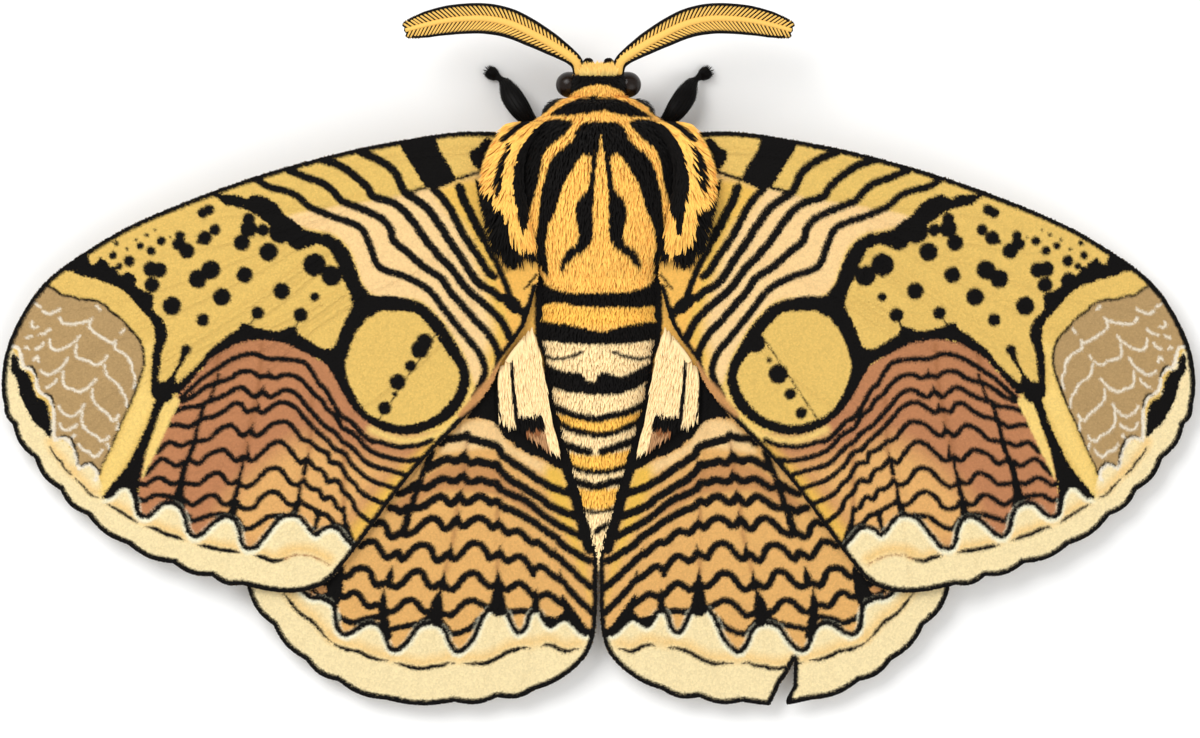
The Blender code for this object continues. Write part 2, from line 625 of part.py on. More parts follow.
def antenna_shapes():
    """The shaft of an antenna, and the rays of its comb, which slant toward its tip."""
    foot = on_body(HEAD, *ANTENNA_FOOT, GAP + SHAFT_RADII[0] / 2)
    path = [foot] + [Vector(place) for place in ANTENNA_PATH]
    shaft = swept([(*place, radius, radius) for place, radius in zip(path, SHAFT_RADII)], LEG_SIDES)
    rays = []
    last = len(ANTENNA_PATH) - 1
    for number in range(RAYS):
        along = 1.0 + (last - 1.0) * number / (RAYS - 1)
        i = min(int(along), last - 1)
        part = along - i
        centre = Vector(ANTENNA_PATH[i]).lerp(Vector(ANTENNA_PATH[i + 1]), part)
        ahead = (Vector(ANTENNA_PATH[i + 1]) - Vector(ANTENNA_PATH[i])).normalized()
        width = COMB_WIDTHS[i] + (COMB_WIDTHS[i + 1] - COMB_WIDTHS[i]) * part
        beside = Vector((-ahead.y, ahead.x, 0.0)).normalized()
        for turn in (1, -1):
            out = beside * turn * width + ahead * width * RAY_SLANT
            root = centre + out.normalized() * RAY_ROOT
            spine = [root, centre + out * 0.5, centre + out - Vector((0.0, 0.0, RAY_SAG))]
            rays.append(strip(spine, [Vector((0.0, 0.0, 1.0))] * 3, RAY_HALVES))
    return shaft, rays


def underside(stations, x, y):
    """Height of the lower surface of a body part above the place X, Y."""
    width, low, high = section(stations, y)
    middle = (low + high) / 2
    return middle - (middle - low) * math.sqrt(max(0.0, 1.0 - (x / width) ** 2))


def leg_shape(stations):
    """A leg whose root meets the underside of the thorax and whose foot lies flat on the floor."""
    root = Vector(stations[0])
    out = (Vector(stations[1][:2]) - root).normalized()
    top = underside(THORAX, root.x - LEG_ROOT_RADIUS, root.y) - GAP
    rows = []
    for ahead, drop in LEG_ROOT_BEND:
        place = root + out * ahead
        rows.append((place.x, place.y, top + drop, LEG_ROOT_RADIUS, LEG_ROOT_RADIUS))
    return swept(rows + stations[1:], LEG_SIDES, on_floor=True)


def build():
    """Make every node of the moth."""
    clear_scene()
    rng = random.Random(SEED)
    thorax = body_shape(THORAX, spread(THORAX[0][0], THORAX[-1][0], THORAX_RINGS))
    solid("thorax", thorax, "thorax_fur", pieces=thorax_locks(rng))
    solid("collar", body_shape(COLLAR, spread(COLLAR[0][0], COLLAR[-1][0], 3)), "collar_fur")
    solid("head", body_shape(HEAD, HEAD_PLACES, flat=HEAD_FLAT), "head_fur", pieces=brow_locks())
    rings = spread(ABDOMEN[0][0], ABDOMEN[-1][0], 2 * ABDOMEN_SEGMENTS)
    tail = [body_lock(ABDOMEN, y, degrees, *TAIL_LOCK) for y, degrees in TAIL_LOCKS]
    solid("abdomen", body_shape(ABDOMEN, rings, segment_swell), "abdomen_fur", pieces=tail)
    for word, side in (("left", -1), ("right", 1)):
        fore = wing_shape(forewing_outline(), FORE_VEINS, FORE_LIFT)
        solid(f"forewing_{word}", fore, "forewing_scales", side)
        hind = wing_shape(hindwing_outline(side == 1), HIND_VEINS, -VEIN_HEIGHT)
        solid(f"hindwing_{word}", hind, "hindwing_scales", side)
        solid(f"tegula_{word}", tegula_shape(), "tegula_fur", side, tegula_locks())
        bar, locks = panel_shapes()
        solid(f"hair_panel_{word}", bar, "panel_hair", side, locks)
        solid(f"eye_{word}", eye_shape(), "eye_cornea", side)
        shaft, rays = antenna_shapes()
        solid(f"antenna_{word}", shaft, "antenna_comb", side, rays)
        solid(f"palp_{word}", swept(PALP, LEG_SIDES), "palp_fur", side)
        solid(f"leg_front_{word}", leg_shape(FRONT_LEG), "leg_scales", side)
        solid(f"leg_middle_{word}", leg_shape(MIDDLE_LEG), "leg_scales", side)
        solid(f"leg_hind_{word}", leg_shape(HIND_LEG), "leg_scales", side)


build()
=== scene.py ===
"""A brahmaea hearseyi moth, dressed: scaled wings, furred body and comb antennae.

Lengths are millimetres in the model's own frame: +Z up, +Y to the head and +X to
the right wings, with MM turning them into metres. A shape that is mirrored is
described once, for the +X side. The markings are drawn in plan for the left side,
in sheet units: one unit is SHEET_MM, u runs to the right and v towards the tail.
"""

import logging
import math
from collections.abc import Callable
from dataclasses import dataclass
from enum import Enum

import bpy
import numpy as np
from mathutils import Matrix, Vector
from mathutils.geometry import delaunay_2d_cdt


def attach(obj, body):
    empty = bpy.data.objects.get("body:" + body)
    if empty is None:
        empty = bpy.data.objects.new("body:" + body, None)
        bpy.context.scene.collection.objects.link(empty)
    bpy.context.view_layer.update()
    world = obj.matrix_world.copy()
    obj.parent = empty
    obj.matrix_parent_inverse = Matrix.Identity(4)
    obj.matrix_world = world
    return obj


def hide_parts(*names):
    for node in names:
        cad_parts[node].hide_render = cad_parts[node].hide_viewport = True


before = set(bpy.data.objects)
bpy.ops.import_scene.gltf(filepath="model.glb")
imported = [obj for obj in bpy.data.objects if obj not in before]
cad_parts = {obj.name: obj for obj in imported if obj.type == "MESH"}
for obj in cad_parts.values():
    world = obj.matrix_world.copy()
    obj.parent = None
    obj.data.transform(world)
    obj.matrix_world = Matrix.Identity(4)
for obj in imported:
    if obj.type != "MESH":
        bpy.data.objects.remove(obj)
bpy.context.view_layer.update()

LOG = logging.getLogger("moth")
MM = 0.001
SEED = 11

# The sheet that the markings are drawn on
SHEET_MM = 0.15
SHEET_CENTRE = (598.5, 356.25)
SHEET_SIZE = (1200, 738)

MARKINGS = "Markings"
BAKE_MAP = "OFBake"
PATCH = 0.003

Pairs = list[tuple[float, float]]


class Side(Enum):
    """The animal's two sides, as the sign of X."""

    LEFT = -1
    RIGHT = 1

    @property
    def word(self) -> str:
        """The side's word in the names of pieces."""
        return self.name.lower()


class Face(Enum):
    """The two faces of a wing, as the sign of Z."""

    UPPER = 1
    LOWER = -1

    @property
    def word(self) -> str:
        """The face's word in the names of pieces."""
        return self.name.lower()


def linear(code: str) -> tuple[float, float, float]:
    """Turn an sRGB hex colour to linear light.

    Args:
        code: The colour as six hex digits.

    Returns:
        Red, green and blue from 0 to 1.
    """
    parts = [int(code[i:i + 2], 16) / 255 for i in (0, 2, 4)]
    return tuple(p / 12.92 if p <= 0.04045 else ((p + 0.055) / 1.055) ** 2.4 for p in parts)


class Ink(Enum):
    """The colours of the scales and fur, as sRGB."""

    BLACK = "0c0a09"
    WARM_BLACK = "1d120b"
    MUSTARD = "edc66c"
    TAN = "bc9b69"
    PALE = "f7ecd6"
    PEACH = "ffd899"
    GOLD = "f5c455"
    BROWN = "c4855a"
    ORANGE = "efb870"
    CREAM = "fee9b4"
    APRICOT = "fbd38a"
    YELLOW = "fdd97f"
    THORAX_GOLD = "fbc15e"
    ABDOMEN_CREAM = "fee0a8"
    ABDOMEN_ORANGE = "fcc256"
    UNDER_BROWN = "5a3a22"
    UNDER_CREAM = "d8b987"
    COMB_YELLOW = "f7c667"
    # Brown used as painted shade along the wing creases, and also for the margin line and the hair panel's brown
    # patch
    CREASE = "a3683f"
    HALO = "fff8d8"
    CELL = "ebb56c"
    CELL_BROWN = "d0965c"

    @property
    def light(self) -> np.ndarray:
        """The colour in linear light."""
        return np.array(linear(self.value))


def pairs(*numbers: float) -> np.ndarray:
    """Rows of two coordinates from a flat run of them."""
    return np.reshape(numbers, (-1, 2)).astype(float)


def unit(rows: np.ndarray) -> np.ndarray:
    """Rows of coordinates, each brought to a length of one."""
    return rows / np.linalg.norm(rows, axis=1, keepdims=True)


def mirror_to(side: Side) -> np.ndarray:
    """Factors that carry the +X side's places to a side."""
    return np.array([side.value, 1.0, 1.0])


def smooth_line(points: Pairs, step: float, closed: bool = False) -> np.ndarray:
    """Points along a smooth curve through the given ones.

    Args:
        points: Places that the curve goes through.
        step: Distance between its own points.
        closed: Whether it runs back to its start.

    Returns:
        An array with a row for each point.
    """
    path = np.asarray(points, float)
    if closed:
        ends = np.vstack([path[-1:], path, path[:2]])
    else:
        ends = np.vstack([2 * path[:1] - path[1:2], path, 2 * path[-1:] - path[-2:-1]])
    curve = []
    for a, b, c, d in zip(ends, ends[1:], ends[2:], ends[3:]):
        count = max(1, round(float(np.linalg.norm(c - b)) / step))
        t = (np.arange(count) / count)[:, None]
        bend = (2 * a - 5 * b + 4 * c - d) * t ** 2 + (3 * b - a - 3 * c + d) * t ** 3
        curve.append(0.5 * (2 * b + (c - a) * t + bend))
    if not closed:
        curve.append(path[-1:])
    return np.vstack(curve)


def line_distance(places: np.ndarray, line: np.ndarray,
                  reach: float = math.inf) -> tuple[np.ndarray, np.ndarray]:
    """Distance from places to a line.

    Args:
        places: Rows of two coordinates.
        line: The line's points.
        reach: How far from the line the answer matters.

    Returns:
        Each place's distance, and its share of the way along the line.
    """
    best = np.full(len(places), np.inf)
    share = np.zeros(len(places))
    last = max(len(line) - 1, 1)
    order = np.argsort(places[:, 0])
    across = places[order, 0]
    for i, (a, b) in enumerate(zip(line, line[1:])):
        low, high = np.minimum(a, b) - reach, np.maximum(a, b) + reach
        first, end = np.searchsorted(across, (low[0], high[0]))
        chosen = order[first:end]
        chosen = chosen[(places[chosen, 1] >= low[1]) & (places[chosen, 1] <= high[1])]
        run = b - a
        t = np.clip(((places[chosen] - a) @ run) / max(float(run @ run), 1e-12), 0.0, 1.0)
        away = np.linalg.norm(places[chosen] - a - t[:, None] * run, axis=1)
        nearer = away < best[chosen]
        best[chosen[nearer]] = away[nearer]
        share[chosen[nearer]] = (i + t[nearer]) / last
    return best, share


def within(places: np.ndarray, outline: np.ndarray) -> np.ndarray:
    """Whether places lie inside a closed outline.

    Args:
        places: Rows of two coordinates.
        outline: The outline's points.

    Returns:
        A truth value for each place.
    """
    found = np.zeros(len(places), bool)
    u, v = places[:, 0], places[:, 1]
    for (au, av), (bu, bv) in zip(outline, np.roll(outline, -1, axis=0)):
        if av == bv:
            continue
        crosses = (av > v) != (bv > v)
        found ^= crosses & (u < au + (bu - au) * (v - av) / (bv - av))
    return found


def ripple(u: np.ndarray, v: np.ndarray, size: float, phase: float) -> np.ndarray:
    """A gentle seamless unevenness from -1 to 1.

    Args:
        u: First coordinates.
        v: Second coordinates.
        size: Length of its waves.
        phase: Start of its waves.

    Returns:
        A value for each place.
    """
    k = math.tau / size
    first = np.sin(k * u + 1.7 * np.sin(0.61 * k * v + phase) + phase)
    second = np.sin(k * 1.13 * v + 1.9 * np.sin(0.53 * k * u - phase) - 2.1 * phase)
    return 0.5 * (first + second)


class Plan:
    """Colours at places on the sheet, laid over each other like ink and wash.

    Args:
        u: Places to the right.
        v: Places towards the tail.
        ground: The first colour.
    """

    WOBBLE = 0.4
    WOBBLE_SIZE = 9.0
    FRAY = 0.35
    FRAY_SIZE = 3.1

    def __init__(self, u: np.ndarray, v: np.ndarray, ground: Ink) -> None:
        """Start with the ground colour, with edges that waver like hand-laid ink."""
        du = self.WOBBLE * ripple(u, v, self.WOBBLE_SIZE, 0.7) + self.FRAY * ripple(u, v, self.FRAY_SIZE, 1.9)
        dv = self.WOBBLE * ripple(u, v, self.WOBBLE_SIZE, 2.9) + self.FRAY * ripple(v, u, self.FRAY_SIZE, 4.1)
        self.places = np.column_stack([u + du, v + dv])
        self.light = np.tile(ground.light, (len(u), 1))

    def near(self, shape: np.ndarray, reach: float) -> np.ndarray:
        """Indices of the places within a shape's box, widened by a reach."""
        low, high = shape.min(axis=0) - reach, shape.max(axis=0) + reach
        return np.flatnonzero(np.all((self.places >= low) & (self.places <= high), axis=1))

    def lay(self, chosen: np.ndarray, ink: Ink, amount: np.ndarray) -> None:
        """Mix an ink over the chosen places by an amount from 0 to 1."""
        amount = np.clip(amount, 0.0, 1.0)[:, None]
        self.light[chosen] = self.light[chosen] * (1 - amount) + ink.light * amount

    def fill(self, outline: Pairs, ink: Ink, strength: float = 1.0, soft: float = 0.0,
             smooth: bool = True) -> None:
        """Fill a closed outline.

        Args:
            outline: Its points.
            ink: The colour.
            strength: How much of it, from 0 to 1.
            soft: Width over which it fades in from its edge.
            smooth: Whether the outline is a curve.
        """
        edge = smooth_line(outline, 3.0, closed=True) if smooth else np.asarray(outline, float)
        chosen = self.near(edge, 0.0)
        chosen = chosen[within(self.places[chosen], edge)]
        amount = np.full(len(chosen), strength)
        if soft and len(chosen):
            away, _ = line_distance(self.places[chosen], np.vstack([edge, edge[:1]]), soft)
            amount = strength * np.clip(away / soft, 0.0, 1.0)
        self.lay(chosen, ink, amount)

    def stroke(self, line: Pairs, widths: float | tuple[float, ...], ink: Ink, strength: float = 1.0,
               soft: float = 0.9, smooth: bool = True) -> None:
        """Draw a line whose width may change along it.

        Args:
            line: The line's points.
            widths: One width, or widths at even shares of its length.
            ink: The colour.
            strength: How much of it, from 0 to 1.
            soft: Width of its faded edge.
            smooth: Whether the line is a curve.
        """
        widths = (widths, widths) if isinstance(widths, (int, float)) else widths
        path = smooth_line(line, 3.0) if smooth else np.asarray(line, float)
        chosen = self.near(path, max(widths) / 2 + soft)
        if not len(chosen):
            return
        away, share = line_distance(self.places[chosen], path, max(widths) / 2 + soft)
        half = np.interp(share, np.linspace(0, 1, len(widths)), widths) / 2
        self.lay(chosen, ink, strength * ((half - away) / soft + 0.5))

    def disc(self, u: float, v: float, radius: float, ink: Ink, strength: float = 1.0) -> None:
        """Draw a round spot."""
        centre = np.array([[u, v]])
        chosen = self.near(centre, radius + 1.0)
        away = np.linalg.norm(self.places[chosen] - centre, axis=1)
        self.lay(chosen, ink, strength * (radius - away + 0.5))


def add_node(tree: bpy.types.NodeTree, kind: str, settings: dict | None = None,
             **inputs: object) -> bpy.types.Node:
    """Add a node with its settings, its constants and its links.

    Args:
        tree: The material's node tree.
        kind: The node's type.
        settings: Properties to set on it.
        inputs: Values or output sockets by input name, with _ for a space.

    Returns:
        The node.
    """
    node = tree.nodes.new(kind)
    for name, value in (settings or {}).items():
        setattr(node, name, value)
    for name, value in inputs.items():
        socket = node.inputs[name.replace("_", " ")]
        if isinstance(value, bpy.types.NodeSocket):
            tree.links.new(value, socket)
        else:
            socket.default_value = value
    return node


def new_material(name: str) -> tuple[bpy.types.Material, bpy.types.NodeTree, bpy.types.Node]:
    """Start a material.

    Args:
        name: The material's name.

    Returns:
        The material, its node tree and its Principled shader.
    """
    material = bpy.data.materials.new(name)
    material.use_nodes = True
    tree = material.node_tree
    return material, tree, tree.nodes["Principled BSDF"]


@dataclass(frozen=True)
class MarkedFinish:
    """Chitin scales or hair that carry the drawn markings."""

    name: str
    roughness: float
    sheen: float
    grain_mm: float
    bump_mm: float
    mottle: float = 0.10
    depth: float = 0.84

    def material(self) -> bpy.types.Material:
        """Colour from the markings, with fine mottling and a grain of scale ends in the bump."""
        material, tree, shader = new_material(self.name)
        marks = add_node(tree, "ShaderNodeVertexColor", {"layer_name": MARKINGS})
        place = add_node(tree, "ShaderNodeNewGeometry")
        grain = add_node(tree, "ShaderNodeTexNoise", Vector=place.outputs["Position"],
                         Scale=1 / (self.grain_mm * MM), Detail=2.0, Roughness=0.6)
        shade = add_node(tree, "ShaderNodeMapRange", Value=grain.outputs["Fac"],
                         To_Min=self.depth * (1 - self.mottle), To_Max=self.depth * (1 + self.mottle))
        tint = add_node(tree, "ShaderNodeHueSaturation", Color=marks.outputs["Color"],
                        Value=shade.outputs["Result"])
        bump = add_node(tree, "ShaderNodeBump", Height=grain.outputs["Fac"], Strength=0.5,
                        Distance=self.bump_mm * MM)
        tree.links.new(tint.outputs["Color"], shader.inputs["Base Color"])
        tree.links.new(bump.outputs["Normal"], shader.inputs["Normal"])
        shader.inputs["Roughness"].default_value = self.roughness
        shader.inputs["IOR"].default_value = 1.56
        shader.inputs["Specular IOR Level"].default_value = 0.06
        shader.inputs["Sheen Weight"].default_value = self.sheen
        shader.inputs["Sheen Roughness"].default_value = 0.5
        return material


@dataclass(frozen=True)
class CorneaFinish:
    """The glossy cornea of a compound eye, moulded in hexagonal lenses."""

    name: str = "compound_eye_cornea"
    colour: str = "0b0806"
    sheen_colour: str = "24160d"
    lens_mm: float = 0.12

    def material(self) -> bpy.types.Material:
        """Near black with a brown glow; lenses, four times as coarse as real so they show, break up its gloss."""
        material, tree, shader = new_material(self.name)
        place = add_node(tree, "ShaderNodeNewGeometry")
        lenses = add_node(tree, "ShaderNodeTexVoronoi", {"feature": "F1"},
                          Vector=place.outputs["Position"], Scale=1 / (self.lens_mm * MM), Randomness=0.25)
        glow = add_node(tree, "ShaderNodeMix", {"data_type": "RGBA"})
        glow.inputs[6].default_value = (*linear(self.colour), 1)
        glow.inputs[7].default_value = (*linear(self.sheen_colour), 1)
        tree.links.new(lenses.outputs["Distance"], glow.inputs[0])
        bump = add_node(tree, "ShaderNodeBump", {"invert": True}, Height=lenses.outputs["Distance"],
                        Strength=0.6, Distance=0.02 * MM)
        tree.links.new(glow.outputs[2], shader.inputs["Base Color"])
        tree.links.new(bump.outputs["Normal"], shader.inputs["Normal"])
        shader.inputs["Roughness"].default_value = 0.16
        shader.inputs["IOR"].default_value = 1.56
        shader.inputs["Specular IOR Level"].default_value = 0.2
        return material


@dataclass(frozen=True)
class FloorFinish:
    """Matt coated board under the model."""

    name: str = "matt_white_board"
    colour: str = "fdfdfc"
    fibre_mm: float = 0.8

    def material(self) -> bpy.types.Material:
        """Even white with the faintest fibre, so that it reads as a sheet and not as a void."""
        material, tree, shader = new_material(self.name)
        place = add_node(tree, "ShaderNodeNewGeometry")
        fibre = add_node(tree, "ShaderNodeTexNoise", Vector=place.outputs["Position"],
                         Scale=1 / (self.fibre_mm * MM), Detail=3.0)
        bump = add_node(tree, "ShaderNodeBump", Height=fibre.outputs["Fac"], Strength=0.1,
                        Distance=0.02 * MM)
        tree.links.new(bump.outputs["Normal"], shader.inputs["Normal"])
        shader.inputs["Base Color"].default_value = (*linear(self.colour), 1)
        shader.inputs["Roughness"].default_value = 0.9
        shader.inputs["Specular IOR Level"].default_value = 0.1
        return material


@dataclass(frozen=True)
class Finishes:
    """The materials of the model, one for each kind of surface."""

    wing_skin: bpy.types.Material
    wing_scales: bpy.types.Material
    skin: bpy.types.Material
    fur: bpy.types.Material
    comb: bpy.types.Material
    cuticle: bpy.types.Material
    cornea: bpy.types.Material

    @classmethod
    def make(cls) -> "Finishes":
        """Make each material once."""
        return cls(
            # Chitin membrane packed with tiny ground scales: matt, with a dusty grain
            wing_skin=MarkedFinish("wing_ground_scales", 0.75, 0.0, 0.25, 0.05).material(),
            # Cover scales: flat ridged chitin, matt with a faint satin glint
            wing_scales=MarkedFinish("wing_cover_scales", 0.62, 0.02, 0.2, 0.03).material(),
            # Cuticle under the fur: dull, only seen between hairs
            skin=MarkedFinish("body_cuticle", 0.7, 0.0, 0.4, 0.05, 0.1, 1.0).material(),
            # Hair scales of the body: soft, with light caught at grazing angles
            fur=MarkedFinish("body_hair", 0.7, 0.06, 0.15, 0.03, 0.14, 1.12).material(),
            # Antenna: thin horn-like cuticle under fine short hair, satin
            comb=MarkedFinish("antenna_horn", 0.5, 0.03, 0.2, 0.02, 0.1, 0.95).material(),
            # Legs: black cuticle, polished but scaly
            cuticle=MarkedFinish("leg_cuticle", 0.45, 0.02, 0.2, 0.04).material(),
            cornea=CorneaFinish().material(),
        )


def make_object(name: str, points: np.ndarray, faces: np.ndarray, material: bpy.types.Material,
                light: np.ndarray | None = None, maps: np.ndarray | None = None,
                smooth: bool = True) -> bpy.types.Object:
    """Make a mesh object from arrays.

    Args:
        name: The piece's name.
        points: Places in millimetres, a row each.
        faces: Rows of point numbers, all of one length.
        material: Its finish.
        light: A linear colour for each point.
        maps: A map place for each point.
        smooth: Whether it is shaded smooth.

    Returns:
        The object, linked to the scene.
    """
    mesh = bpy.data.meshes.new(name)
    count, corners = faces.shape
    mesh.vertices.add(len(points))
    mesh.vertices.foreach_set("co", (points * MM).astype(np.float32).ravel())
    mesh.loops.add(count * corners)
    mesh.loops.foreach_set("vertex_index", faces.astype(np.int32).ravel())
    mesh.polygons.add(count)
    mesh.polygons.foreach_set("loop_start", np.arange(0, count * corners, corners, dtype=np.int32))
    mesh.polygons.foreach_set("use_smooth", np.full(count, smooth))
    mesh.update(calc_edges=True)
    if light is not None:
        marks = mesh.color_attributes.new(MARKINGS, "FLOAT_COLOR", "POINT")
        rgba = np.ones((len(points), 4), np.float32)
        rgba[:, :3] = light
        marks.data.foreach_set("color", rgba.ravel())
    if maps is not None:
        layer = mesh.uv_layers.new(name=BAKE_MAP)
        layer.data.foreach_set("uv", maps[faces.ravel()].astype(np.float32).ravel())
    mesh.materials.append(material)
    mesh.validate()
    thing = bpy.data.objects.new(name, mesh)
    bpy.context.collection.objects.link(thing)
    return thing


def place_piece(piece: bpy.types.Object, slot: str, *nodes: str) -> None:
    """Let a piece ride on the moth, and hide the nodes that it stands for."""
    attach(piece, "root")
    if nodes:
        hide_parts(*nodes)
    LOG.info("%s: %d faces", piece.name, len(piece.data.polygons))


@dataclass(frozen=True)
class Blade:
    """The outline of a scale or tuft, in shares of its length, half width and lift.

    Rows of (place along, half width, lift) come before a single tip point.
    """

    rows: tuple[tuple[float, float, float], ...]
    tip_lift: float = 1.0
    # Painted shade: a blade's colour darkens towards its root, where it lies under its neighbours
    root_shade: float = 0.8
    tip_shade: float = 1.0

    def faces(self) -> np.ndarray:
        """Triangles of one blade."""
        found = []
        for i in range(len(self.rows) - 1):
            a = 2 * i
            found += [(a, a + 1, a + 3), (a, a + 3, a + 2)]
        a = 2 * (len(self.rows) - 1)
        found.append((a, a + 1, a + 2))
        return np.array(found)


SCALE = Blade(rows=((0.0, 0.75, 0.0), (0.72, 1.0, 0.8)), tip_lift=1.0, root_shade=0.94)
HAIR = Blade(rows=((0.0, 0.75, 0.0), (0.4, 1.0, 0.7), (0.75, 0.6, 1.0)), tip_lift=0.75, root_shade=0.72)


@dataclass
class Coat:
    """Blades by the thousand, each with its own place, lie, size and colour."""

    roots: np.ndarray
    along: np.ndarray
    up: np.ndarray
    length: np.ndarray
    half: np.ndarray
    lift: np.ndarray
    light: np.ndarray
    maps: np.ndarray
    blade: Blade
    tint: Callable[[np.ndarray], np.ndarray] | None = None

    def build(self, name: str, material: bpy.types.Material, slot: str,
              smooth: bool = False) -> bpy.types.Object:
        """Join the blades to one mesh.

        Args:
            name: The piece's name.
            material: Its finish.
            slot: The record's material slot; not used.
            smooth: Whether it is shaded smooth.

        Returns:
            The piece.
        """
        along = unit(self.along)
        across = unit(np.cross(along, self.up))
        up = np.cross(across, along)
        blade = self.blade
        columns = [(place, turn * wide, lift) for place, wide, lift in blade.rows for turn in (-1, 1)]
        columns.append((1.0, 0.0, blade.tip_lift))
        points = np.empty((len(self.roots), len(columns), 3))
        light = np.empty_like(points)
        maps = np.empty((len(self.roots), len(columns), 2))
        for i, (place, wide, lift) in enumerate(columns):
            points[:, i] = (self.roots + along * (self.length * place)[:, None]
                            + across * (self.half * wide)[:, None] + up * (self.lift * lift)[:, None])
            # Painted shade: darker at the root, where the blade lies under others, lighter towards the tip
            shade = blade.root_shade + (blade.tip_shade - blade.root_shade) * min(1.0, place / 0.6)
            colour = self.light if self.tint is None else self.light * self.tint(points[:, i])
            light[:, i] = colour * shade
            maps[:, i] = self.maps + PATCH * np.array([0.5 * wide, place])
        base = np.arange(len(self.roots))[:, None, None] * len(columns)
        faces = (blade.faces()[None] + base).reshape(-1, 3)
        piece = make_object(name, points.reshape(-1, 3), faces, material, light.reshape(-1, 3),
                            maps.reshape(-1, 2), smooth)
        place_piece(piece, slot)
        return piece


def lattice(low: np.ndarray, high: np.ndarray, step: float, rng: np.random.Generator,
            jitter: float = 0.3) -> np.ndarray:
    """Staggered rows of places over a box, each a little off its spot.

    Args:
        low: The box's lowest corner.
        high: Its highest corner.
        step: Distance between neighbours.
        rng: Source of the small shifts.
        jitter: Size of the shifts, as a share of the step.

    Returns:
        Rows of two coordinates.
    """
    rows = np.arange(low[1], high[1], step * 0.866)
    columns = np.arange(low[0], high[0], step)
    u, v = np.meshgrid(columns, rows)
    u = u + 0.5 * step * (np.arange(len(rows)) % 2)[:, None]
    places = np.column_stack([u.ravel(), v.ravel()])
    return places + rng.uniform(-jitter, jitter, places.shape) * step


def triangulated(rim: np.ndarray, inner: np.ndarray) -> tuple[np.ndarray, np.ndarray]:
    """Fill a closed rim with triangles over inner places.

    Args:
        rim: The outline's points.
        inner: Further places inside it.

    Returns:
        The places, rim first, and the triangles.
    """
    points = [Vector(p) for p in np.vstack([rim, inner])]
    edges = [(i, (i + 1) % len(rim)) for i in range(len(rim))]
    flat, _, found, *_ = delaunay_2d_cdt(points, edges, [], 0, 1e-4, False)
    flat = np.array([tuple(p) for p in flat])
    found = np.array([tuple(f) for f in found if len(f) == 3])
    centres = flat[found].mean(axis=1)
    return flat, found[within(centres, rim)]


def to_sheet(x: np.ndarray, y: np.ndarray) -> tuple[np.ndarray, np.ndarray]:
    """Sheet places, on the left half, of places in the model."""
    return SHEET_CENTRE[0] - np.abs(x) / SHEET_MM, SHEET_CENTRE[1] - y / SHEET_MM


@dataclass(frozen=True)
class WingDome:
    """The level surface that both pairs of wings follow, a low dome about their roots."""

    root: tuple[float, float] = (12.0, 22.0)
    top: float = 14.2
    drop: float = 11.2
    reach: float = 82.0
    curve: float = 1.2

    def level(self, x: np.ndarray, y: np.ndarray) -> np.ndarray:
        """Height of the dome at places on the +X side."""
        away = np.hypot(x - self.root[0], y - self.root[1]) / self.reach
        return self.top - self.drop * away ** self.curve

    def normal(self, x: np.ndarray, y: np.ndarray) -> np.ndarray:
        """Direction out of the dome at places on the +X side."""
        dx = (self.level(x + 0.1, y) - self.level(x - 0.1, y)) / 0.2
        dy = (self.level(x, y + 0.1) - self.level(x, y - 0.1)) / 0.2
        return unit(np.column_stack([-dx, -dy, np.ones_like(dx)]))


DOME = WingDome()


def scalloped(cusps: Pairs, bulge: float) -> list[tuple[float, float]]:
    """The rim through cusps, bulging out between each two."""
    rim = []
    for a, b in zip(cusps, cusps[1:]):
        a, b = np.array(a), np.array(b)
        run = float(np.linalg.norm(b - a))
        out = np.array([b[1] - a[1], a[0] - b[0]]) / run
        for t in np.arange(0.0, 0.999, 0.1):
            rim.append(tuple(a + (b - a) * t - out * min(bulge, run * SCALLOP_SHARE) * math.sin(math.pi * t)))
    return rim


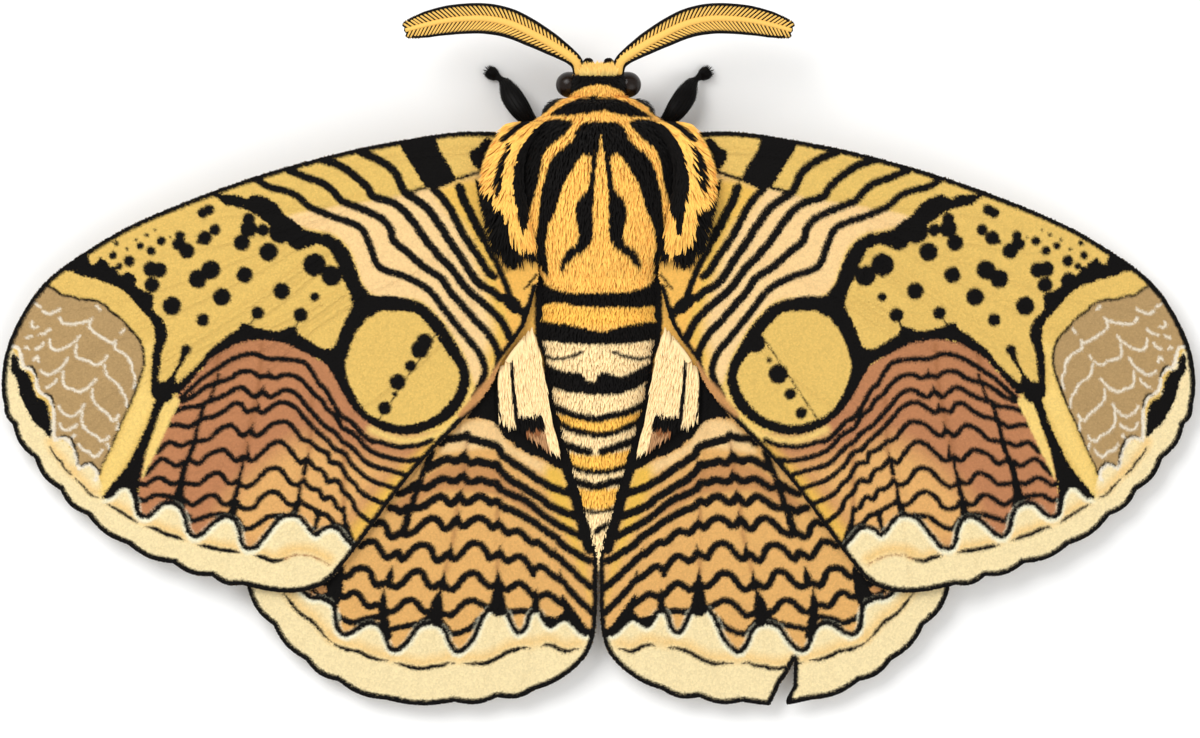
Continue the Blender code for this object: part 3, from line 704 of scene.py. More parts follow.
@dataclass
class Wing:
    """One wing: a thin membrane under overlapping rows of scales."""

    side: Side
    finishes: Finishes
    membrane: float = 0.3
    coat: float = 0.12
    vein_height: float = 0.3
    vein_half: float = 0.45
    skin_step: float = 0.7
    scale_step: float = 0.28
    under_step: float = 0.42
    scale_length: float = 0.46
    scale_half: float = 0.17
    scale_lift: float = 0.07
    rim_width: float = 4.6
    turn_spread: float = 0.16
    size_spread: tuple[float, float] = (0.85, 1.15)
    tone_spread: tuple[float, float] = (0.93, 1.07)
    overhang: float = 0.15
    root_gap: float = 0.02
    root_right: float = 13.5
    root_top: float = 32.0
    root_drop: float = 14.0

    name = "wing"
    slot = "forewing_scales"
    lift = 0.0
    fan_root = (12.0, 22.0)

    def rim(self) -> np.ndarray:
        """The outline in millimetres, for the +X side."""
        raise NotImplementedError

    def inked_rim(self) -> np.ndarray:
        """The stretch of the outline with black edge scales: all but the root."""
        rim = self.rim()
        return rim[(rim[:, 0] > self.root_right) | (rim[:, 1] < self.fan_root[1] - self.root_drop)
                   | (rim[:, 1] > self.root_top)]

    def veins(self) -> list[Pairs]:
        """The main veins, for the +X side."""
        raise NotImplementedError

    def paint(self, plan: Plan) -> None:
        """Lay the markings."""
        raise NotImplementedError

    def paint_over(self, plan: Plan) -> None:
        """Lay what covers the dark rim: nothing, unless the wing has a fringe."""

    def light_at(self, flat: np.ndarray, face: Face) -> np.ndarray:
        """Colours of the markings.

        Args:
            flat: Places in millimetres, for the +X side.
            face: The wing's face.

        Returns:
            A linear colour for each place.
        """
        u, v = to_sheet(flat[:, 0], flat[:, 1])
        plan = Plan(u, v, Ink.MUSTARD)
        self.paint(plan)
        edge = np.column_stack(to_sheet(*self.inked_rim().T))
        plan.stroke(edge, 2 * self.rim_width, Ink.BLACK, smooth=False)
        self.paint_over(plan)
        light = plan.light
        if face is Face.LOWER:
            light = light * 0.55 + Ink.UNDER_CREAM.light * 0.25 + Ink.UNDER_BROWN.light * 0.2
        return light

    def upper_light(self, points: np.ndarray) -> np.ndarray:
        """Colours of the upper face at places on either side of the model."""
        return self.light_at(np.column_stack([np.abs(points[:, 0]), points[:, 1]]), Face.UPPER)

    def height(self, flat: np.ndarray) -> np.ndarray:
        """Height of the upper skin, with its veins as soft ridges."""
        x, y = flat[:, 0], flat[:, 1]
        ridge = np.zeros(len(flat))
        for vein in self.veins():
            line = smooth_line(vein, 1.5)
            low, high = line.min(axis=0) - 1.0, line.max(axis=0) + 1.0
            chosen = np.flatnonzero(np.all((flat >= low) & (flat <= high), axis=1))
            away, share = line_distance(flat[chosen], line)
            bump = np.exp(-(away / self.vein_half) ** 2) * (1 - 0.6 * share)
            ridge[chosen] = np.maximum(ridge[chosen], bump)
        return DOME.level(x, y) + self.lift + self.vein_height * ridge - self.coat

    def map_places(self, flat: np.ndarray, half: int = 0, halves: int = 1) -> np.ndarray:
        """Places on the unwrapped wing, laid flat along its own dome.

        Args:
            flat: Places in millimetres, for the +X side.
            half: Which share of the map the face takes.
            halves: How many faces share the map.

        Returns:
            Map places from 0 to 1.
        """
        rim = self.rim()
        low, high = rim.min(axis=0), rim.max(axis=0)
        size = float((high - low).max())
        along = (flat - low) / size
        return (np.array([0.01, 0.01]) + along * 0.98) / np.array([halves, 1]) + np.array([half / halves, 0])

    def build_skin(self) -> None:
        """Make the membrane, a closed body with both its faces."""
        rng = np.random.default_rng(SEED)
        rim = self.rim()
        inner = lattice(rim.min(axis=0), rim.max(axis=0), self.skin_step, rng, 0.1)
        inner = inner[within(inner, rim)]
        away, _ = line_distance(inner, np.vstack([rim, rim[:1]]))
        flat, found = triangulated(rim, inner[away > 0.3 * self.skin_step])
        upper = self.height(flat)
        lower = DOME.level(flat[:, 0], flat[:, 1]) + self.lift - self.coat - self.membrane
        top = np.column_stack([flat, upper])
        under = np.column_stack([flat, lower])
        points = np.vstack([top, under])
        points[:, 0] *= self.side.value
        count = len(flat)
        faces = [found, found[:, ::-1] + count]
        edges = {(a, b) for f in found for a, b in zip(f, np.roll(f, -1))}
        border = np.array([(a, b) for a, b in edges if (b, a) not in edges])
        a, b = border[:, 0], border[:, 1]
        faces += [np.column_stack([b, a, a + count]), np.column_stack([b, a + count, b + count])]
        faces = np.vstack(faces)
        if self.side is Side.LEFT:
            faces = faces[:, ::-1]
        light = np.vstack([self.light_at(flat, Face.UPPER), self.light_at(flat, Face.LOWER)])
        maps = np.vstack([self.map_places(flat, 0, 2), self.map_places(flat, 1, 2)])
        node = f"{self.name}_{self.side.word}"
        skin = make_object(f"{node}_membrane", points, faces, self.finishes.wing_skin, light, maps)
        place_piece(skin, self.slot, node)

    def lie(self, flat: np.ndarray) -> np.ndarray:
        """The way that the scales lie: out from the root to the margin."""
        return unit(flat - np.array(self.fan_root))

    def build_scales(self, face: Face) -> None:
        """Cover one face with scales, like tiles on a roof."""
        rng = np.random.default_rng(SEED + self.side.value + 10 * face.value)
        rim = self.rim()
        step = self.scale_step if face is Face.UPPER else self.under_step
        size = step / self.scale_step
        flat = lattice(rim.min(axis=0), rim.max(axis=0), step, rng)
        flat = flat[within(flat, rim)]
        flat = self.keep(flat, face)
        away, _ = line_distance(flat, np.vstack([rim, rim[:1]]))
        way = self.lie(flat)
        turn = rng.normal(0.0, self.turn_spread, len(flat))
        way = np.column_stack([way[:, 0] * np.cos(turn) - way[:, 1] * np.sin(turn),
                               way[:, 0] * np.sin(turn) + way[:, 1] * np.cos(turn)])
        length = self.scale_length * size * rng.uniform(*self.size_spread, len(flat))
        length = np.minimum(length, away + self.overhang)
        light = rng.uniform(*self.tone_spread, (len(flat), 1)) * np.ones(3)
        if face is Face.LOWER:
            light *= self.light_at(flat + way * length[:, None] * 0.5, face)
        normal = DOME.normal(flat[:, 0], flat[:, 1]) * face.value
        if face is Face.UPPER:
            z = self.height(flat)
        else:
            z = DOME.level(flat[:, 0], flat[:, 1]) + self.lift - self.coat - self.membrane
        roots = np.column_stack([flat, z])
        ahead = flat + way * 0.3
        fall = (DOME.level(ahead[:, 0], ahead[:, 1]) - DOME.level(flat[:, 0], flat[:, 1])) / 0.3
        along = np.column_stack([way, fall])
        for rows in (roots, along, normal):
            rows[:, 0] *= self.side.value
        coat = Coat(roots + normal * self.root_gap, along, normal, length,
                    self.scale_half * size * rng.uniform(*self.size_spread, len(flat)),
                    self.scale_lift * rng.uniform(0.6, 1.3, len(flat)), light, self.map_places(flat), SCALE,
                    self.upper_light if face is Face.UPPER else None)
        coat.build(f"{self.name}_{self.side.word}_scales_{face.word}", self.finishes.wing_scales, self.slot)

    def keep(self, flat: np.ndarray, face: Face) -> np.ndarray:
        """The places of a face that carry scales: all of them, unless another wing hides some."""
        return flat

    def build(self) -> None:
        """Make the wing."""
        self.build_skin()
        for face in Face:
            self.build_scales(face)


FORE_COSTA = [(10.6, 33.0), (13.4, 33.3), (20.6, 33.5), (29.2, 32.3), (38.8, 30.4), (52.0, 26.7),
              (65.9, 21.5), (74.8, 17.0), (83.3, 10.8), (88.3, 2.6), (89.6, -3.9), (89.2, -7.3)]
FORE_CUSPS = [(89.2, -7.3), (87.9, -10.2), (84.6, -15.3), (80.8, -20.0), (76.7, -23.8), (70.6, -28.2),
              (63.8, -31.0), (58.0, -32.9), (53.6, -34.2)]
FORE_HIND = [(53.6, -34.2), (49.6, -35.1), (46.0, -35.4), (42.7, -34.8), (40.1, -33.3), (36.2, -28.5),
             (28.0, -17.5), (17.5, -6.3), (14.2, 0.0), (11.2, 4.5), (9.9, 8.4), (9.0, 12.0)]
FORE_ROOT = [(9.0, 12.0), (9.6, 22.0), (10.0, 30.0), (10.6, 33.0)]
HIND_FRONT = [(9.0, 13.0), (20.8, 8.4), (32.8, 0.6), (43.3, -9.6), (50.5, -20.1), (53.2, -28.3),
              (52.6, -34.9)]
HIND_CUSPS = [(52.6, -34.9), (48.8, -40.3), (43.9, -45.6), (39.1, -48.7), (31.9, -51.5), (21.6, -51.8),
              (15.2, -51.1), (9.5, -50.0)]
HIND_REAR = [(9.5, -50.0), (6.8, -49.0), (3.7, -46.9), (1.6, -44.5), (0.6, -41.7), (0.25, -38.0)]
HIND_INNER = [(0.25, -38.0), (0.25, -33.0), (0.3, -29.0), (1.4, -25.3), (3.9, -16.2), (6.2, -7.0),
              (7.9, 2.1), (8.2, 11.0), (9.0, 13.0)]
TEAR = [(26.3, -51.2), (27.3, -49.0), (28.3, -47.7), (29.4, -45.5), (29.3, -49.5), (28.3, -51.3),
        (28.2, -52.2)]
TEAR_TOP = -48.0
SCALLOP = 0.7
SCALLOP_SHARE = 0.14


@dataclass
class Forewing(Wing):
    """A forewing: bands, a ring of spots and a fan of wavy lines."""

    name = "forewing"
    slot = "forewing_scales"
    lift = 0.8
    fan_root = (8.0, 26.0)

    def rim(self) -> np.ndarray:
        """The outline, from the front of its root round to the back."""
        costa = smooth_line(FORE_COSTA, 1.5)[:-1]
        hind = smooth_line(FORE_HIND, 1.5)[:-1]
        root = smooth_line(FORE_ROOT, 2.0)[:-1]
        return np.vstack([costa, scalloped(FORE_CUSPS, SCALLOP), hind, root])

    def veins(self) -> list[Pairs]:
        """The main veins, as in the solids."""
        front = [(14.6, 28.0), (21.5, 26.3), (28.0, 24.6), (35.8, 22.7), (39.5, 20.1)]
        rear = [(13.9, 21.2), (20.8, 16.5), (28.3, 12.6), (34.0, 10.2), (38.0, 9.6)]
        return [
            front,
            rear,
            [(39.5, 20.1), (39.8, 14.7), (38.0, 9.6)],
            [(17.0, 30.8), (26.8, 30.0), (38.8, 27.9), (49.0, 24.9)],
            [(28.0, 24.6), (40.3, 23.0), (53.8, 21.6), (64.0, 19.7)],
            [(35.8, 22.7), (49.3, 18.6), (62.8, 15.9), (75.0, 14.2)],
            [(39.5, 20.1), (53.0, 15.0), (68.0, 9.6), (82.6, 6.6)],
            [(39.5, 20.1), (52.3, 12.2), (70.3, 3.6), (87.2, -4.6)],
            [(39.8, 16.6), (52.3, 7.7), (70.3, -3.6), (84.8, -12.2)],
            [(39.8, 14.7), (50.8, 6.0), (64.0, -0.8), (74.0, -8.6), (81.0, -17.5)],
            [(38.0, 9.6), (50.5, 3.9), (62.0, -3.3), (67.3, -11.8), (74.0, -24.0)],
            [(38.0, 9.6), (47.8, 2.7), (56.6, -2.4), (60.5, -12.3), (62.9, -22.2), (65.4, -29.0)],
            [(34.0, 10.2), (43.3, 3.9), (49.3, -2.1), (52.7, -13.6), (54.7, -23.2), (56.2, -32.4)],
            [(13.9, 18.2), (21.5, 4.7), (32.0, -4.8), (43.1, -12.7), (44.8, -22.0), (46.2, -34.2)],
        ]

    def paint(self, plan: Plan) -> None:
        """Lay the forewing's markings from the ground up."""
        ForewingMarks(self.side).paint(plan)

    def paint_over(self, plan: Plan) -> None:
        """Lay the gold and brown fringe beside the body."""
        ForewingMarks(self.side).paint_fringe(plan)


@dataclass
class Hindwing(Wing):
    """A hindwing: wavy lines, a cream margin and, on the right, a small tear."""

    name = "hindwing"
    slot = "hindwing_scales"
    lift = -0.35
    fan_root = (8.0, 14.0)

    def rim(self) -> np.ndarray:
        """The outline, from its root along the front and round to the body."""
        margin = np.array(scalloped(HIND_CUSPS, SCALLOP))
        if self.side is Side.RIGHT:
            tear = np.array(TEAR)
            before = margin[(margin[:, 0] > tear[-1, 0]) | (margin[:, 1] > TEAR_TOP)]
            after = margin[(margin[:, 0] < tear[0, 0]) & (margin[:, 1] <= TEAR_TOP)]
            margin = np.vstack([before, tear[::-1], after])
        front = smooth_line(HIND_FRONT, 1.5)[:-1]
        rear = smooth_line(HIND_REAR, 1.0)[:-1]
        inner = smooth_line(HIND_INNER, 1.5)[:-1]
        return np.vstack([front, margin, rear, inner])

    def veins(self) -> list[Pairs]:
        """The main veins, as in the solids."""
        front = [(12.2, 9.4), (19.3, 3.9), (23.8, -2.1)]
        rear = [(11.8, 6.2), (16.3, -0.6), (20.8, -7.3)]
        return [
            front,
            rear,
            [(23.8, -2.1), (23.5, -4.8), (20.8, -7.3)],
            [(19.3, 3.9), (29.8, -2.1), (41.8, -12.6), (51.2, -27.5)],
            [(23.8, -2.1), (32.8, -11.1), (43.3, -24.6), (49.6, -37.0)],
            [(23.8, -2.1), (29.8, -14.1), (35.8, -26.1), (40.9, -36.6), (45.2, -42.8)],
            [(20.8, -7.3), (26.3, -16.3), (29.9, -28.0), (32.2, -36.0), (35.0, -49.2)],
            [(20.8, -7.3), (19.9, -14.2), (21.1, -23.8), (23.0, -32.7), (25.6, -43.5)],
            [(16.3, -0.6), (15.1, -18.6), (14.9, -28.5), (15.4, -38.4), (18.0, -50.8)],
            [(11.2, -1.0), (13.0, -12.6), (10.1, -30.0), (9.7, -38.5), (12.0, -49.6)],
            [(10.4, -6.5), (8.9, -18.6), (5.8, -31.0), (5.0, -39.9), (4.9, -46.6)],
        ]

    def keep(self, flat: np.ndarray, face: Face) -> np.ndarray:
        """Leave out most upper scales deep under the forewing."""
        if face is Face.LOWER:
            return flat
        cover = Forewing(self.side, self.finishes).rim()
        hidden = within(flat, cover)
        away, _ = line_distance(flat, cover)
        deep = hidden & (away > 1.5)
        return flat[~deep | (np.arange(len(flat)) % 5 == 0)]

    def paint(self, plan: Plan) -> None:
        """Lay the hindwing's markings from the ground up."""
        HindwingMarks(self.side).paint(plan)


@dataclass
class ForewingMarks:
    """The forewing's markings on the sheet, as flat runs of u and v."""

    side: Side

    DISC = pairs(
        286, 216, 332, 206, 371, 200, 411, 192, 452, 181, 482, 172, 505, 215, 530, 300, 542, 345, 497, 375,
        480, 400, 470, 374, 465, 359, 455, 341, 445, 325, 435, 314, 423, 304, 410, 300, 382, 298, 371, 295,
        362, 284, 356, 267, 350, 252, 341, 241, 329, 234, 304, 229)
    BASE_GOLD = pairs(
        430, 188, 482, 172, 505, 215, 530, 300, 542, 345, 497, 375, 482, 388, 478, 360, 486, 330, 478, 290,
        462, 240)
    ROOT_GOLD = pairs(
        501, 252, 548, 252, 548, 330, 530, 336, 515, 352, 503, 366, 498, 350, 508, 330, 500, 300, 494, 278)
    ROOT_FRINGE = pairs(541, 300, 537, 322, 525, 338, 513, 351, 503, 364)
    HIND_FRINGE = pairs(501, 366, 490, 384, 476, 399, 460, 415)
    FAN = pairs(
        158, 430, 178, 394, 190, 383, 212, 359, 235, 345, 260, 340, 286, 344, 309, 355, 330, 369, 343, 394,
        361, 415, 380, 428, 415, 434, 450, 424, 470, 400, 500, 380, 440, 450, 380, 510, 320, 579, 240, 560,
        140, 516, 139, 490, 144, 461)
    FAN_PALE = pairs(
        225, 480, 300, 425, 360, 440, 420, 448, 440, 440, 380, 510, 330, 570, 240, 560, 205, 530)
    HIND_STRIP = pairs(500, 372, 478, 395, 455, 421, 430, 450, 400, 480, 375, 509, 350, 541, 330, 566)
    UNDER_RING = pairs(372, 430, 395, 439, 415, 440, 440, 433, 460, 417, 474, 392)
    SCALLOPS = pairs(
        103, 499, 110, 498, 119, 489, 123, 488, 128, 489, 132, 494, 135, 502, 136, 510, 138, 516, 143, 519,
        149, 518, 155, 513, 161, 507, 168, 505, 176, 507, 182, 513, 185, 521, 187, 530, 190, 536, 195, 539,
        202, 536, 208, 530, 215, 524, 221, 520, 227, 519, 233, 521, 237, 527, 240, 535, 241, 543, 244, 549,
        249, 551, 256, 549, 263, 541, 267, 536, 274, 527, 281, 520, 291, 517, 299, 519, 306, 526, 311, 533,
        316, 537, 322, 532, 330, 529, 338, 531, 344, 538, 352, 547)
    MARGIN = pairs(
        366, 575, 330, 605, 240, 605, 120, 565, 50, 505, 0, 430, -12, 345, 10, 347, 17, 358, 26, 372, 37,
        397, 48, 409, 52, 425, 56, 441, 66, 441, 74, 455, 77, 466, 90, 465, 97, 472, 100, 482)
    YELLOW_STRIP = pairs(
        142, 347, 144, 359, 139, 380, 128, 408, 118, 433, 105, 459, 99, 475, 97, 500, 106, 500, 121, 473,
        130, 459, 141, 437, 149, 418, 156, 400, 151, 386, 152, 361, 155, 339)
    SLIVER = pairs(165, 400, 180, 400, 170, 422, 159, 446, 146, 472, 141, 481, 144, 461, 155, 428)
    TAN_LINE = pairs(
        44, 284, 55, 290, 61, 295, 70, 296, 79, 299, 92, 300, 103, 304, 110, 311, 120, 318, 128, 327, 138,
        338, 142, 347, 144, 359, 142, 371, 135, 391, 128, 408, 120, 425, 114, 439, 105, 459, 102, 464, 99,
        475)
    TAN_EDGE = pairs(
        96, 467, 89, 463, 80, 466, 76, 464, 74, 452, 71, 445, 65, 439, 59, 438, 54, 440, 53, 430, 52, 413,
        51, 403, 47, 397, 40, 393, 36, 386, 35, 376, 29, 369, 23, 367, 20, 357, 17, 348, 10, 347, -4, 330,
        20, 290)
    CHEVRONS = (
        pairs(35, 304, 40, 307), pairs(42, 311, 48, 314, 56, 311, 60, 309),
        pairs(59, 318, 61, 322, 68, 324, 79, 323, 88, 321, 92, 318),
        pairs(90, 322, 89, 327, 95, 333, 106, 340, 112, 343, 116, 341),
        pairs(115, 344, 115, 349, 124, 354, 131, 363, 132, 371, 135, 379, 133, 389),
        pairs(31, 322, 31, 327, 37, 327), pairs(38, 335, 45, 333, 49, 329),
        pairs(49, 339, 50, 347, 55, 350, 64, 348, 72, 343, 76, 340, 79, 336),
        pairs(76, 345, 75, 353, 77, 358, 88, 361, 95, 365, 103, 361, 107, 356),
        pairs(104, 365, 106, 375, 111, 379, 119, 386, 122, 393, 126, 398, 126, 407),
        pairs(26, 338, 31, 336), pairs(24, 348, 26, 347, 28, 349), pairs(35, 349, 40, 347, 43, 343),
        pairs(33, 360, 37, 357, 38, 362), pairs(100, 309, 96, 306), pairs(121, 333, 124, 329),
        pairs(40, 371, 47, 375, 56, 371, 63, 365, 67, 358),
        pairs(63, 372, 62, 380, 65, 387, 72, 389, 78, 392, 87, 388, 96, 379),
        pairs(92, 389, 92, 398, 96, 405, 103, 411, 109, 416, 112, 421, 117, 418, 118, 415),
        pairs(117, 422, 117, 430), pairs(46, 388, 54, 383, 56, 379),
        pairs(58, 406, 61, 412, 71, 417, 77, 413, 81, 409, 84, 404),
        pairs(82, 411, 81, 421, 83, 426, 88, 432, 96, 436, 100, 441, 107, 439, 108, 436),
        pairs(107, 444, 108, 449), pairs(59, 424, 61, 429, 66, 430, 73, 427, 76, 425),
        pairs(71, 438, 74, 435),
        pairs(78, 444, 81, 449, 88, 452, 94, 457, 100, 453, 102, 450))
    WHITE_BAND = (
        pairs(
            10, 347, 17, 348, 20, 357, 23, 367, 29, 369, 35, 376, 36, 386, 40, 393, 47, 397, 51, 403, 53,
            413, 53, 430, 54, 440, 59, 438, 65, 439, 71, 445, 74, 452, 77, 466),
        pairs(78, 469, 84, 466, 89, 465, 95, 470, 96, 475, 95, 480))
    CRESCENTS = (
        pairs(26, 366, 31, 367, 35, 373, 36, 378), pairs(43, 394, 48, 394, 52, 400, 53, 408),
        pairs(58, 437, 63, 436, 70, 438, 74, 447, 77, 456, 77, 465),
        pairs(80, 466, 86, 463, 91, 463, 96, 468, 99, 474))
    LENS = pairs(
        12, 353, 17, 358, 19, 368, 26, 372, 31, 380, 33, 390, 37, 397, 45, 402, 48, 410, 50, 422, 50, 438,
        41, 429, 34, 424, 27, 412, 22, 402, 19, 394, 17, 384, 14, 377, 10, 370, 10, 359)
    OUTER_BAND = pairs(
        82, 253, 88, 256, 90, 263, 96, 263, 100, 257, 104, 260, 109, 263, 110, 266, 117, 267, 117, 272,
        122, 275, 127, 272, 133, 274, 137, 280, 136, 285, 144, 291, 154, 295, 153, 303, 154, 311, 163, 320,
        167, 330, 167, 338, 163, 348, 161, 358, 160, 368, 159, 384, 172, 390, 164, 401, 155, 399, 151, 394,
        151, 386, 152, 361, 153, 349, 155, 339, 153, 325, 146, 315, 138, 307, 131, 298, 123, 291, 114, 286,
        105, 283, 95, 279, 82, 276, 72, 272, 60, 269)
    KNOB = pairs(165, 383, 172, 374, 178, 363, 183, 350, 189, 352, 182, 365, 176, 375, 176, 390, 164, 396)
    DIAGONAL = pairs(
        156, 398, 149, 418, 141, 437, 130, 459, 121, 473, 110, 486, 103, 495, 102, 499, 110, 498, 115, 493,
        123, 487, 129, 488, 136, 500, 140, 516, 138, 490, 141, 474, 148, 446, 155, 428, 160, 413, 166, 398)
    DOME_BAND = pairs(
        172, 389, 188, 374, 199, 363, 210, 350, 221, 341, 230, 334, 237, 330, 241, 324, 247, 323, 252, 326,
        265, 329, 278, 331, 292, 326, 297, 328, 300, 335, 309, 340, 318, 346, 327, 349, 334, 347, 340, 340,
        345, 328, 350, 315, 353, 306, 366, 318, 356, 345, 352, 373, 362, 400, 384, 421, 380, 429, 361, 415,
        343, 394, 337, 381, 330, 369, 321, 361, 309, 355, 297, 349, 286, 344, 272, 341, 259, 340, 247, 341,
        235, 345, 224, 351, 212, 359, 200, 371, 190, 383, 178, 394)
    RING = pairs(
        353, 306, 370, 297, 400, 297, 423, 304, 435, 314, 445, 325, 455, 341, 465, 359, 470, 374, 469, 388,
        462, 405, 449, 419, 433, 428, 415, 434, 395, 434, 375, 427, 358, 414, 345, 397, 336, 380, 330, 360)
    EYESPOT = pairs(
        382, 311, 411, 312, 424, 321, 435, 334, 448, 354, 457, 366, 460, 378, 456, 392, 446, 406, 433, 417,
        417, 423, 402, 425, 384, 421, 371, 415, 362, 406, 356, 396, 350, 384, 347, 374, 346, 363, 348, 355,
        352, 343, 358, 331, 364, 321, 371, 315)
    EYE_SPOTS = {Side.LEFT: ((425, 342, 8.8), (420, 350, 9.2), (411, 366, 6), (398, 382, 8.3), (395, 394, 3),
                             (385, 408, 7)),
                 Side.RIGHT: ((442, 343, 10), (419, 374, 10), (407, 394, 6), (396, 413, 6), (428, 360, 3))}
    EYE_LINE = pairs(436, 335, 379, 420)
    MEDIAN = pairs(
        211, 194, 239, 195, 246, 199, 256, 194, 268, 198, 277, 204, 286, 216, 295, 221, 304, 229, 318, 233,
        329, 234, 341, 241, 350, 252, 356, 267, 362, 284, 371, 295, 382, 298, 397, 297, 410, 300, 423, 304,
        411, 312, 382, 311, 367, 319, 357, 332, 330, 348, 336, 344, 343, 335, 346, 327, 352, 318, 353, 307,
        350, 293, 343, 279, 337, 263, 329, 249, 318, 244, 308, 248, 287, 242, 266, 222, 250, 211, 240, 208,
        225, 205)
    SPOTS = (
        (113, 255, 4.2), (116, 243, 2.8), (127, 249, 1.7), (129, 261, 5.7), (136, 240, 1.7), (140, 246, 3.8),
        (147, 235, 2), (151, 251, 4.8), (155, 230, 1.3), (161, 241, 4.7), (170, 237, 1.3), (180, 236, 5.1),
        (179, 244, 7), (187, 251, 8), (151, 269, 8), (159, 270, 8), (152, 285, 7.9), (119, 266, 3.6),
        (172, 306, 9.6), (198, 279, 9.5), (211, 270, 9.9), (203, 213, 5.5), (209, 210, 5.7), (205, 238, 7.3),
        (215, 230, 5.9), (198, 242, 2.3), (222, 297, 9.2), (245, 275, 8.4), (242, 243, 8.4), (249, 219, 6.4),
        (249, 229, 9), (263, 230, 6.4), (281, 232, 12), (299, 239, 11.5), (269, 252, 9.6), (282, 291, 8.7),
        (315, 297, 4.8), (315, 265, 11.8), (332, 276, 10.5), (203, 320, 6.7), (258, 313, 6.5),
        (301, 315, 7.3), (163, 392, 11), (186, 350, 5.6))
    STALKS = (pairs(258, 313, 250, 325), pairs(301, 315, 295, 328))
    STRIPES = (
        (6.0, pairs(
            256, 179, 269, 187, 286, 191, 299, 197, 310, 207, 333, 217, 346, 221, 362, 229, 371, 248, 377,
            264, 385, 270, 400, 275, 410, 279, 420, 284, 430, 291, 437, 299, 444, 309, 452, 319, 460, 329,
            469, 340, 479, 352, 484, 363, 485, 373, 482, 382, 475, 397)),
        (6.6, pairs(
            289, 170, 308, 178, 324, 184, 334, 192, 342, 201, 359, 208, 382, 219, 391, 230, 394, 241, 406,
            251, 416, 260, 427, 269, 442, 279, 449, 290, 454, 296, 462, 305, 469, 313, 477, 322, 486, 331,
            493, 341, 498, 352, 499, 361, 497, 373)),
        (7.0, pairs(
            323, 160, 340, 166, 355, 176, 368, 188, 374, 197, 391, 202, 403, 210, 412, 220, 419, 230, 426,
            240, 434, 250, 443, 260, 453, 270, 460, 280, 468, 290, 476, 297, 483, 303, 492, 311, 500, 319,
            505, 327, 509, 335, 513, 345)),
        (7.2, pairs(
            360, 152, 378, 160, 394, 171, 400, 182, 405, 192, 416, 200, 429, 210, 436, 220, 443, 230, 449,
            240, 456, 250, 463, 260, 469, 270, 476, 280, 484, 287, 492, 291, 500, 298)),
        (6.8, pairs(
            434, 189, 444, 200, 451, 210, 456, 220, 461, 230, 467, 240, 474, 250, 481, 260, 487, 270, 494,
            277)),
        (8.0, pairs(460, 188, 464, 200, 469, 210, 474, 220, 479, 230, 485, 240)),
        (5.4, pairs(479, 230, 485, 240, 489, 250, 495, 260, 500, 270, 504, 280, 508, 290, 511, 298)),
        (2.0, pairs(411, 192, 452, 181, 482, 172)), (1.0, pairs(537, 275, 525, 289)))
    BLOCKS = (
        pairs(400, 140, 433, 138, 440, 150, 455, 180, 429, 188, 415, 170),
        pairs(485, 139, 494, 141, 489, 149, 484, 161, 484, 169, 479, 171, 471, 161, 471, 151, 479, 147),
        pairs(
            476, 180, 477, 190, 479, 200, 482, 210, 487, 220, 492, 230, 496, 240, 501, 250, 506, 261, 513,
            271, 519, 264, 524, 258, 536, 262, 530, 246, 511, 236, 508, 220, 502, 205, 488, 190),
        pairs(
            500, 296, 509, 294, 519, 300, 523, 307, 526, 306, 529, 315, 531, 318, 538, 319, 538, 330, 527,
            327, 524, 326, 521, 319, 517, 314, 513, 314, 503, 304))
